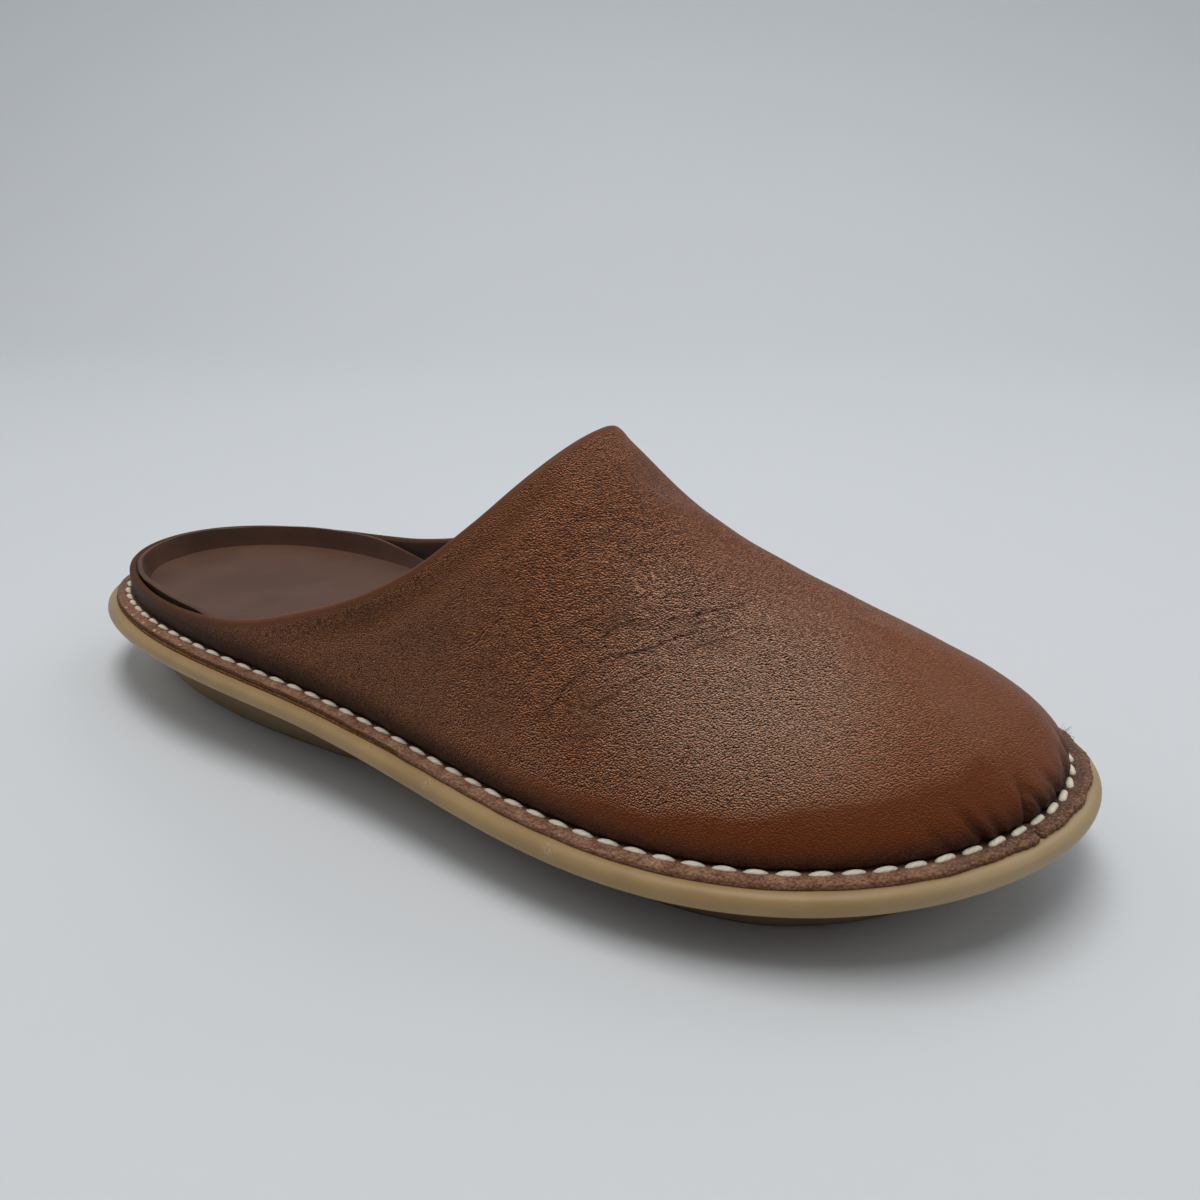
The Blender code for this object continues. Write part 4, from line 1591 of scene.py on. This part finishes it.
@dataclass
class RubberSole:
    """The moulded unit: rolled lip, inset side wall, arch and grooved treads."""

    plan: SolePlan
    lip_bottom: float = 6.3  # under the flange's top face
    undercut: float = 8.5
    undercut_rise: float = 0.4
    hollow: float = 1.4
    tread_round: float = 2.0
    stations: int = 336
    groove_depth: float = 1.6
    groove_width: float = 3.0
    groove_border: float = 9.0
    # shares of the length at which a groove crosses the tread
    grooves: tuple[float, ...] = (0.14, 0.19, 0.24, 0.29, 0.34, 0.60, 0.64, 0.68, 0.72, 0.76, 0.80, 0.84)
    # share of the length, height over the ground, inset of the tread's edge
    tread: Table = (
        (0.00, 3.0, 15.5),
        (0.07, 0.6, 15.5),
        (0.10, 0.0, 16.0),
        (0.24, 0.0, 16.5),
        (0.38, 0.0, 16.5),
        (0.42, 0.9, 17.0),
        (0.48, 3.0, 17.5),
        (0.54, 0.9, 17.0),
        (0.58, 0.0, 16.5),
        (0.70, 0.0, 16.0),
        (0.80, 0.0, 15.5),
        (0.86, 1.4, 15.5),
        (0.93, 5.0, 15.5),
        (1.00, 11.0, 15.5),
    )

    def __post_init__(self) -> None:
        """Works out the tread's curves."""
        share, height, inset = np.array(self.tread).T
        self.tread_height, self.tread_inset = steady_spline(share, height), steady_spline(share, inset)

    def side_ring(self, turns: Array, down: float, angle: float) -> Array:
        """A ring on the side wall, or on the rounding below it.

        Args:
            turns: one for each station.
            down: share of the way down the wall.
            angle: round the rounding, in radians.

        Returns:
            The points, in the drawing's millimetres.
        """
        share = self.plan.outline(turns)[:, 0] / self.plan.length
        foot = self.tread_inset(share) - self.tread_round
        inward = self.undercut + (foot - self.undercut) * down**self.hollow
        flat = self.plan.inset(turns, inward + self.tread_round * math.sin(angle))
        top = self.plan.feather(flat[:, 0]) - self.lip_bottom + self.undercut_rise
        bottom = self.tread_height(flat[:, 0] / self.plan.length) + self.tread_round
        height = top + (bottom - top) * down - self.tread_round * (1 - math.cos(angle))
        return np.column_stack([flat, height])

    def build(self) -> bpy.types.Object:
        """Builds the sole.

        Returns:
            The piece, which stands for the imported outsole.
        """
        turns = np.arange(self.stations) * TAU / self.stations
        top = self.plan.rubber_top(self.plan.outline(turns)[:, 0])
        radius = (self.lip_bottom - top) / 2
        rings = [self.plan.ring(turns, 4.5, -top)]
        for angle in np.radians(np.linspace(90, -90, 17)):
            depth = top + radius * (1 - math.sin(angle))
            rings.append(self.plan.ring(turns, radius * (1 - math.cos(angle)), -depth))
        lip_rings = len(rings)
        for share in (0.35, 0.75, 0.95):
            inset = radius + (self.undercut - radius) * share
            rings.append(self.plan.ring(turns, inset, self.undercut_rise * share - self.lip_bottom))
        rings += [self.side_ring(turns, down, 0.0) for down in (0.04, 0.15, 0.3, 0.5, 0.7, 0.85, 1.0)]
        rings += [self.side_ring(turns, 1.0, angle) for angle in np.radians([15, 30, 50, 70, 90])]
        sole = skin("rubber_sole", self.plan.world(np.array(rings)), closed=False)
        dress(sole, SoleRubber().make(), SoleRubber("sole_side", painted_shade=True).make())
        below_lip = np.arange(len(rings) - 1) > lip_rings
        sole.data.polygons.foreach_set("material_index", np.repeat(below_lip, self.stations).astype(np.int32))
        close_across(sole, self.stations)
        self.cut_grooves(sole)
        smooth_shade(sole, 38.0)
        hand_over(sole, Slot.RUBBER, "outsole")
        return sole

    def cut_grooves(self, sole: bpy.types.Object) -> None:
        """Cuts the cross grooves into the treads.

        Args:
            sole: the closed sole.
        """
        bars = []
        for share in self.grooves:
            turn = math.acos(1 - 2 * share)
            inset = self.tread_inset(np.array([share, share])) + self.groove_border
            ends = self.plan.inset(np.array([turn, -turn]), inset)
            top = float(self.tread_height(share)) + self.groove_depth
            size = np.array([self.groove_width, abs(ends[1, 1] - ends[0, 1]), top + 4.0])
            middle = np.array([self.plan.length * share, ends[:, 1].mean(), top - size[2] / 2])
            bpy.ops.object.select_all(action="DESELECT")
            bpy.ops.mesh.primitive_cube_add(size=1.0, location=self.plan.world(middle), scale=size * MM)
            bpy.ops.object.transform_apply(location=True, rotation=True, scale=True)
            bars.append(bpy.context.object)
        cutter = join_all(bars, "groove_cutter")
        cut = sole.modifiers.new("grooves", "BOOLEAN")
        cut.operation, cut.solver, cut.object = "DIFFERENCE", "EXACT", cutter
        apply_modifiers(sole)
        bpy.data.objects.remove(cutter)


@dataclass
class Board:
    """The thin layer between the flange and the rubber, of which only the cut edge shows."""

    plan: SolePlan
    inset: float = 2.75
    drop: float = 1.26  # of its top face under the flange's
    clearance: float = 0.04  # over the rubber
    stations: int = 336

    def build(self) -> bpy.types.Object:
        """Builds the board.

        Returns:
            The piece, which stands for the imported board.
        """
        turns = np.arange(self.stations) * TAU / self.stations
        run = self.plan.length * turns
        x = self.plan.outline(turns)[:, 0]
        edge = self.inset + 0.10 * unevenness(run, 0 * run, 60.0, 5.0) + self.plan.thinned(x)
        thickness = self.plan.rubber_top(x) - self.clearance - self.drop
        rings = []
        for inset, share in ((0.06, 1.0), (0.0, 0.85), (0.0, 0.2), (0.08, 0.0)):
            rings.append(self.plan.ring(turns, edge + inset, -self.drop - thickness * share))
        board = skin("board_layer", self.plan.world(np.array(rings)), closed=False)
        close_across(board, self.stations)
        smooth_shade(board, 50.0)
        dress(board, CutLeather("board_edge", dark=(0.110, 0.042, 0.015), light=(0.30, 0.135, 0.050)).make())
        hand_over(board, Slot.BOARD, "midsole_board")
        return board


@dataclass
class FootBed:
    """The insole that shows through the opening: softly dished leather on the board."""

    plan: SolePlan
    edge_inset: float = 7.9 + 1.2 + 0.5  # the crease, the leather and a clearance
    thickness: float = 3.2
    drop: float = 1.2  # of its underside under the flange's top face
    stations: int = 200
    across: int = 40

    def build(self) -> bpy.types.Object:
        """Builds the foot bed.

        Returns:
            The piece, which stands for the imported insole.
        """
        turns = np.linspace(0.0, math.pi, self.stations)
        near = self.plan.inset(turns, np.full(self.stations, self.edge_inset))
        far = self.plan.inset(-turns, np.full(self.stations, self.edge_inset))
        share = np.linspace(0, 1, self.across)[:, None, None]
        share = (1 - np.cos(share * math.pi)) / 2
        flat = near + (far - near) * share
        top = self.plan.feather(flat[..., 0]) + self.thickness - self.drop
        side = np.minimum(share, 1 - share)[..., 0]
        half = np.linalg.norm(far - near, axis=-1)[None, :]
        inwards = side * half
        along = flat[..., 0] / self.plan.length
        rounding = np.clip(1 - inwards / 1.6, 0, 1) ** 2 * 0.9
        worn_in = 0.6 + 0.5 * bump_at(along, 0.14, 0.12) + 0.4 * bump_at(along, 0.68, 0.12)
        dish = 0.55 * fade(inwards, 2, 22) * worn_in
        rows = np.concatenate([flat, (top - rounding - dish)[..., None]], axis=-1)
        bed = sheet_over("foot_bed", self.plan.world(rows))
        only(bed)
        select_all_in_edit()
        bpy.ops.mesh.remove_doubles(threshold=2e-5)
        bpy.ops.mesh.normals_make_consistent(inside=False)
        bpy.ops.object.mode_set(mode="OBJECT")
        if bed.data.polygons[len(bed.data.polygons) // 2].normal.z < 0:
            bed.data.flip_normals()
        thick = bed.modifiers.new("thickness", "SOLIDIFY")
        thick.thickness, thick.offset = (self.thickness - self.drop) * MM, -1.0
        apply_modifiers(bed)
        smooth_shade(bed, 60.0)
        dress(bed, LiningLeather("foot_bed_leather", rough=0.5).make())
        hand_over(bed, Slot.SOCK, "insole")
        return bed


@dataclass
class HeelLining:
    """The lining strip that stands inside the rim and runs forwards along both sides."""

    plan: SolePlan
    inset: float = 10.9
    reach: float = 1.33  # how far it runs round from the heel's tip, as a turn
    foot: float = 1.6  # its lower edge over the feather line
    top: float = 7.8
    thickness: float = 1.3
    stations: int = 220
    rows: int = 12

    def build(self) -> bpy.types.Object:
        """Builds the lining strip.

        Returns:
            The piece.
        """
        turns = np.linspace(-self.reach, self.reach, self.stations)
        ends = 1 - fade(np.abs(turns), self.reach - 0.35, self.reach)
        run = turns * self.plan.length / 2
        top = self.top * (0.35 + 0.65 * ends) + 0.15 * unevenness(run, 0 * run, 40.0, 2.0)
        rows = []
        for share in np.linspace(0, 1, self.rows):
            lean = 0.9 * (1 - share) ** 2 - 0.5 * share**3
            wave = 0.22 * unevenness(run, 0 * run, 31.0, 6.0) * share
            height = self.foot + (top - self.foot) * share
            rows.append(self.plan.ring(turns, self.inset + lean + wave, height))
        strip = sheet_over("heel_lining", self.plan.world(np.array(rows)))
        thick = strip.modifiers.new("thickness", "SOLIDIFY")
        thick.thickness, thick.offset = self.thickness * MM, 0.0
        soft = strip.modifiers.new("edges", "BEVEL")
        soft.width, soft.segments, soft.limit_method = 0.5 * MM, 3, "ANGLE"
        soft.angle_limit = math.radians(50)
        apply_modifiers(strip)
        smooth_shade(strip)
        dress(strip, LiningLeather().make())
        hand_over(strip, Slot.SOCK)
        return strip


@dataclass
class Trimmings:
    """What the making left behind: specks of cement and loose fibres at the flange's edge."""

    plan: SolePlan
    # x and y on the flange's edge, size
    specks: Table = (
        (-107.8, -33.0, 0.75),
        (-101.5, -35.6, 0.95),
        (-94.1, -37.8, 0.80),
        (-87.1, -39.5, 1.00),
        (-84.9, -39.9, 0.60),
        (-80.2, -40.7, 0.60),
        (-73.8, -41.6, 0.65),
        (-98.0, -36.6, 0.45),
    )
    # x and y where a tuft of fibres leaves the edge, how many, length
    tufts: tuple[tuple[float, float, int, float], ...] = (
        (127.9, 37.6, 7, 2.6),
        (129.0, 35.9, 4, 1.6),
        (134.6, 24.5, 5, 1.7),
        (118.0, 46.2, 3, 1.4),
    )
    up: tuple[float, float, float] = (0.0, 0.0, 1.0)

    def build(self) -> None:
        """Builds the specks and the fibres."""
        self.build_specks()
        self.build_fibres()

    def build_specks(self) -> None:
        """Builds flat irregular drops of dried cement."""
        drops = []
        for number, (x, y, size) in enumerate(self.specks):
            turn = self.plan.turn_near(x, y)
            middle = self.plan.world(self.plan.ring(np.array([turn]), 3.75, 0.12)[0])
            bpy.ops.object.select_all(action="DESELECT")
            bpy.ops.mesh.primitive_ico_sphere_add(subdivisions=3, radius=size * MM)
            drop = bpy.context.object
            shape = points_of(drop) / MM
            x, y, z = shape.T
            shape *= 1 + 0.22 * unevenness(x * 3, y * 3 + z, 3.1, number * 1.7)[:, None]
            shape *= [0.8, 0.6, 0.42]
            put_points(drop, shape * MM + middle)
            drops.append(drop)
        cement = join_all(drops, "cement_specks")
        smooth_shade(cement)
        b = Bench("dried_cement", Specular_IOR_Level=0.6)
        shade = b.noise(b.place(), 0.6, 2.0, 0.6)
        b.colour(b.blend(b.step(shade, 0.3, 0.7), (0.42, 0.22, 0.07), (0.62, 0.42, 0.2)))
        b.roughness(0.3 + shade * 0.2)
        dress(cement, b.material)
        hand_over(cement, Slot.LEATHER)

    def build_fibres(self) -> None:
        """Builds short curved fibres as thin tapered tubes."""
        noise = np.random.default_rng(11)
        up = np.array(self.up)
        tubes = []
        for x, y, count, length in self.tufts:
            turn = self.plan.turn_near(x, y)
            out = np.array([*self.plan.outward(turn), 0.0])
            side = np.array([-out[1], out[0], 0.0])
            for _ in range(count):
                foot = self.plan.ring(np.array([turn]), 3.0 + noise.uniform(-0.2, 0.4), -0.5)[0]
                foot = foot + side * noise.uniform(-1.5, 1.5)
                aim = out * noise.uniform(0.3, 0.8) + side * noise.normal(0, 0.6)
                aim = aim + up * noise.uniform(0.3, 1.0)
                bend = side * noise.normal(0, 0.9) + up * noise.normal(0.1, 0.5)
                reach = length * noise.uniform(0.6, 1.1)
                tube = self.build_tube()
                shape = points_of(tube)
                u = (shape[:, 2] + 0.5)[:, None]
                placed = foot + aim * u * reach + bend * u**2 * reach * 0.5
                put_points(tube, self.plan.world(placed + side * shape[:, :1] + up * shape[:, 1:2]))
                tubes.append(tube)
        fibres = join_all(tubes, "edge_fibres")
        smooth_shade(fibres)
        dress(fibres, CutLeather("fibre", dark=(0.04, 0.016, 0.009), light=(0.09, 0.04, 0.02)).make())
        hand_over(fibres, Slot.LEATHER)

    def build_tube(self) -> bpy.types.Object:
        """Builds a thin tapered tube, 1 long, that is cut across where it will bend.

        Returns:
            The tube.
        """
        bpy.ops.object.select_all(action="DESELECT")
        bpy.ops.mesh.primitive_cone_add(vertices=6, radius1=0.085, radius2=0.02, depth=1.0)
        tube = bpy.context.object
        bpy.ops.object.mode_set(mode="EDIT")
        for height in (0.0, 0.25, -0.25):
            bpy.ops.mesh.select_all(action="SELECT")
            bpy.ops.mesh.bisect(plane_co=(0, 0, height), plane_no=self.up)
        bpy.ops.object.mode_set(mode="OBJECT")
        return tube


# ---------------------------------------------------------------- the room
@dataclass(frozen=True)
class Room:
    """A plain pale floor that curves up into walls all round, large soft lights and the camera."""

    floor_colour: Colour = (0.755, 0.785, 0.82)
    floor_cloud: Colour = (0.735, 0.76, 0.79)
    wall_colour: Colour = (0.53, 0.56, 0.59)
    away: tuple[float, float] = (-0.53, 0.848)  # from the camera, along the floor
    middle: float = -0.49  # of the floor, that way: it lies behind the camera
    corners: tuple[float, float] = (0.65, 0.51)  # from the middle, across the view and along it
    corner_radius: float = 0.6
    bend: float = 0.35  # radius between the floor and the walls
    wall_top: float = 1.5
    # lamps: name, place, aim, width, height, watts, colour
    boxes: tuple = (
        ("key", (-0.02, -0.02, 1.25), (0.0, 0.0, 0.03), 1.0, 0.4, 7.2, (1.0, 0.985, 0.955)),
        ("left", (-0.9, -0.5, 0.8), (-0.05, 0.0, 0.0), 0.6, 0.6, 1.0, (0.97, 0.98, 0.985)),
        ("back", (0.05, 1.0, 0.95), (0.0, 0.0, 0.0), 1.2, 0.7, 2.9, (0.97, 0.98, 0.985)),
        ("overhead", (0.0, 0.1, 1.6), (0.0, 0.0, 0.0), 1.8, 1.6, 3.4, (0.96, 0.975, 0.985)),
        ("right", (1.1, 0.05, 0.95), (0.1, 0.0, 0.03), 0.6, 0.6, 1.45, (1.0, 0.98, 0.95)),
        ("front", (-0.5, -0.7, 1.3), (0.0, 0.0, 0.03), 0.8, 0.6, 0.9, (1.0, 0.99, 0.97)),
    )
    room_colour: Colour = (0.86, 0.92, 1.0)
    room_strength: float = 0.06
    lens: float = 33.0
    # the camera's right, up and back directions as columns, and its place
    camera: Table = (
        (0.845642, -0.200659, 0.494596, 0.156167),
        (0.533745, 0.313683, -0.785315, -0.202832),
        (0.002434, 0.928084, 0.372364, 0.141859),
        (0.0, 0.0, 0.0, 1.0),
    )

    def build(self) -> None:
        """Builds the stage, the light and the camera."""
        self.build_stage()
        self.build_light()
        self.build_camera()

    def build_stage(self) -> None:
        """Builds the floor and the walls round it as one curved sheet, square to the camera."""
        away, across = np.array(self.away), np.array([self.away[1], -self.away[0]])
        turns = np.radians(np.arange(3, 360, 6))
        facing = np.outer(np.cos(turns), across) + np.outer(np.sin(turns), away)
        corner = np.outer(np.sign(np.cos(turns)) * self.corners[0], across)
        corner += np.outer(np.sign(np.sin(turns)) * self.corners[1] + self.middle, away)
        flat = corner + facing * self.corner_radius
        rings = [np.column_stack([flat * share, np.zeros(len(turns))]) for share in (0.0, 0.5, 1.0)]
        for angle in np.radians(np.arange(10, 91, 10)):
            out = facing * self.bend * math.sin(angle)
            height = self.bend * (1 - math.cos(angle))
            rings.append(np.column_stack([flat + out, np.full(len(turns), height)]))
        rings.append(np.column_stack([rings[-1][:, :2], np.full(len(turns), self.wall_top)]))
        floor = skin("floor", np.array(rings), closed=False)
        smooth_shade(floor)
        b = Bench("floor_paint", Roughness=0.62, Specular_IOR_Level=0.3)
        soft = b.noise(b.place(), 240.0, 2.0, 0.5)
        painted = b.blend(b.step(soft, 0.3, 0.7) * 0.25, self.floor_colour, self.floor_cloud)
        b.colour(b.blend(b.step(b.axis(b.place(), "Z"), 0.02, 0.75), painted, self.wall_colour))
        dress(floor, b.material)

    def build_light(self) -> None:
        """Builds the soft boxes round the shoe and the room's own light."""
        for name, place, aim, width, height, watts, colour in self.boxes:
            lamp = bpy.data.lights.new(name, "AREA")
            lamp.shape, lamp.size, lamp.size_y = "RECTANGLE", width, height
            lamp.energy, lamp.color = watts, colour
            holder = bpy.data.objects.new(name, lamp)
            back = np.array(place) - np.array(aim)
            z = back / np.linalg.norm(back)
            x = np.cross([0, 0, 1], z)
            x /= np.linalg.norm(x)
            axes = np.column_stack([x, np.cross(z, x), z])
            holder.matrix_world = Matrix([[*axes[i], place[i]] for i in range(3)] + [[0, 0, 0, 1]])
            bpy.context.scene.collection.objects.link(holder)
        world = bpy.data.worlds.new("room")
        world.use_nodes = True
        background = world.node_tree.nodes["Background"]
        background.inputs["Color"].default_value = (*self.room_colour, 1.0)
        background.inputs["Strength"].default_value = self.room_strength
        bpy.context.scene.world = world

    def build_camera(self) -> None:
        """Builds the camera: from the toe's outer side, looking down at the whole shoe."""
        lens = bpy.data.cameras.new("camera")
        lens.lens, lens.sensor_width, lens.sensor_height = self.lens, 36.0, 36.0
        lens.clip_start, lens.clip_end = 0.01, 20.0
        holder = bpy.data.objects.new("camera", lens)
        holder.matrix_world = Matrix(self.camera)
        bpy.context.scene.collection.objects.link(holder)
        bpy.context.scene.camera = holder


def main() -> None:
    """Builds the room, then the shoe's pieces in a maker's order."""
    logging.basicConfig(level=logging.INFO, format="%(message)s")
    bpy.context.scene.view_settings.view_transform = "Standard"
    plan = SolePlan()
    last = Last(plan)
    seam = Seam(plan)
    Room().build()
    RubberSole(plan).build()
    Board(plan).build()
    FootBed(plan).build()
    HeelLining(plan).build()
    Upper(plan, last, seam).build()
    seam.build()
    Trimmings(plan).build()


if __name__ == "__main__":
    main()
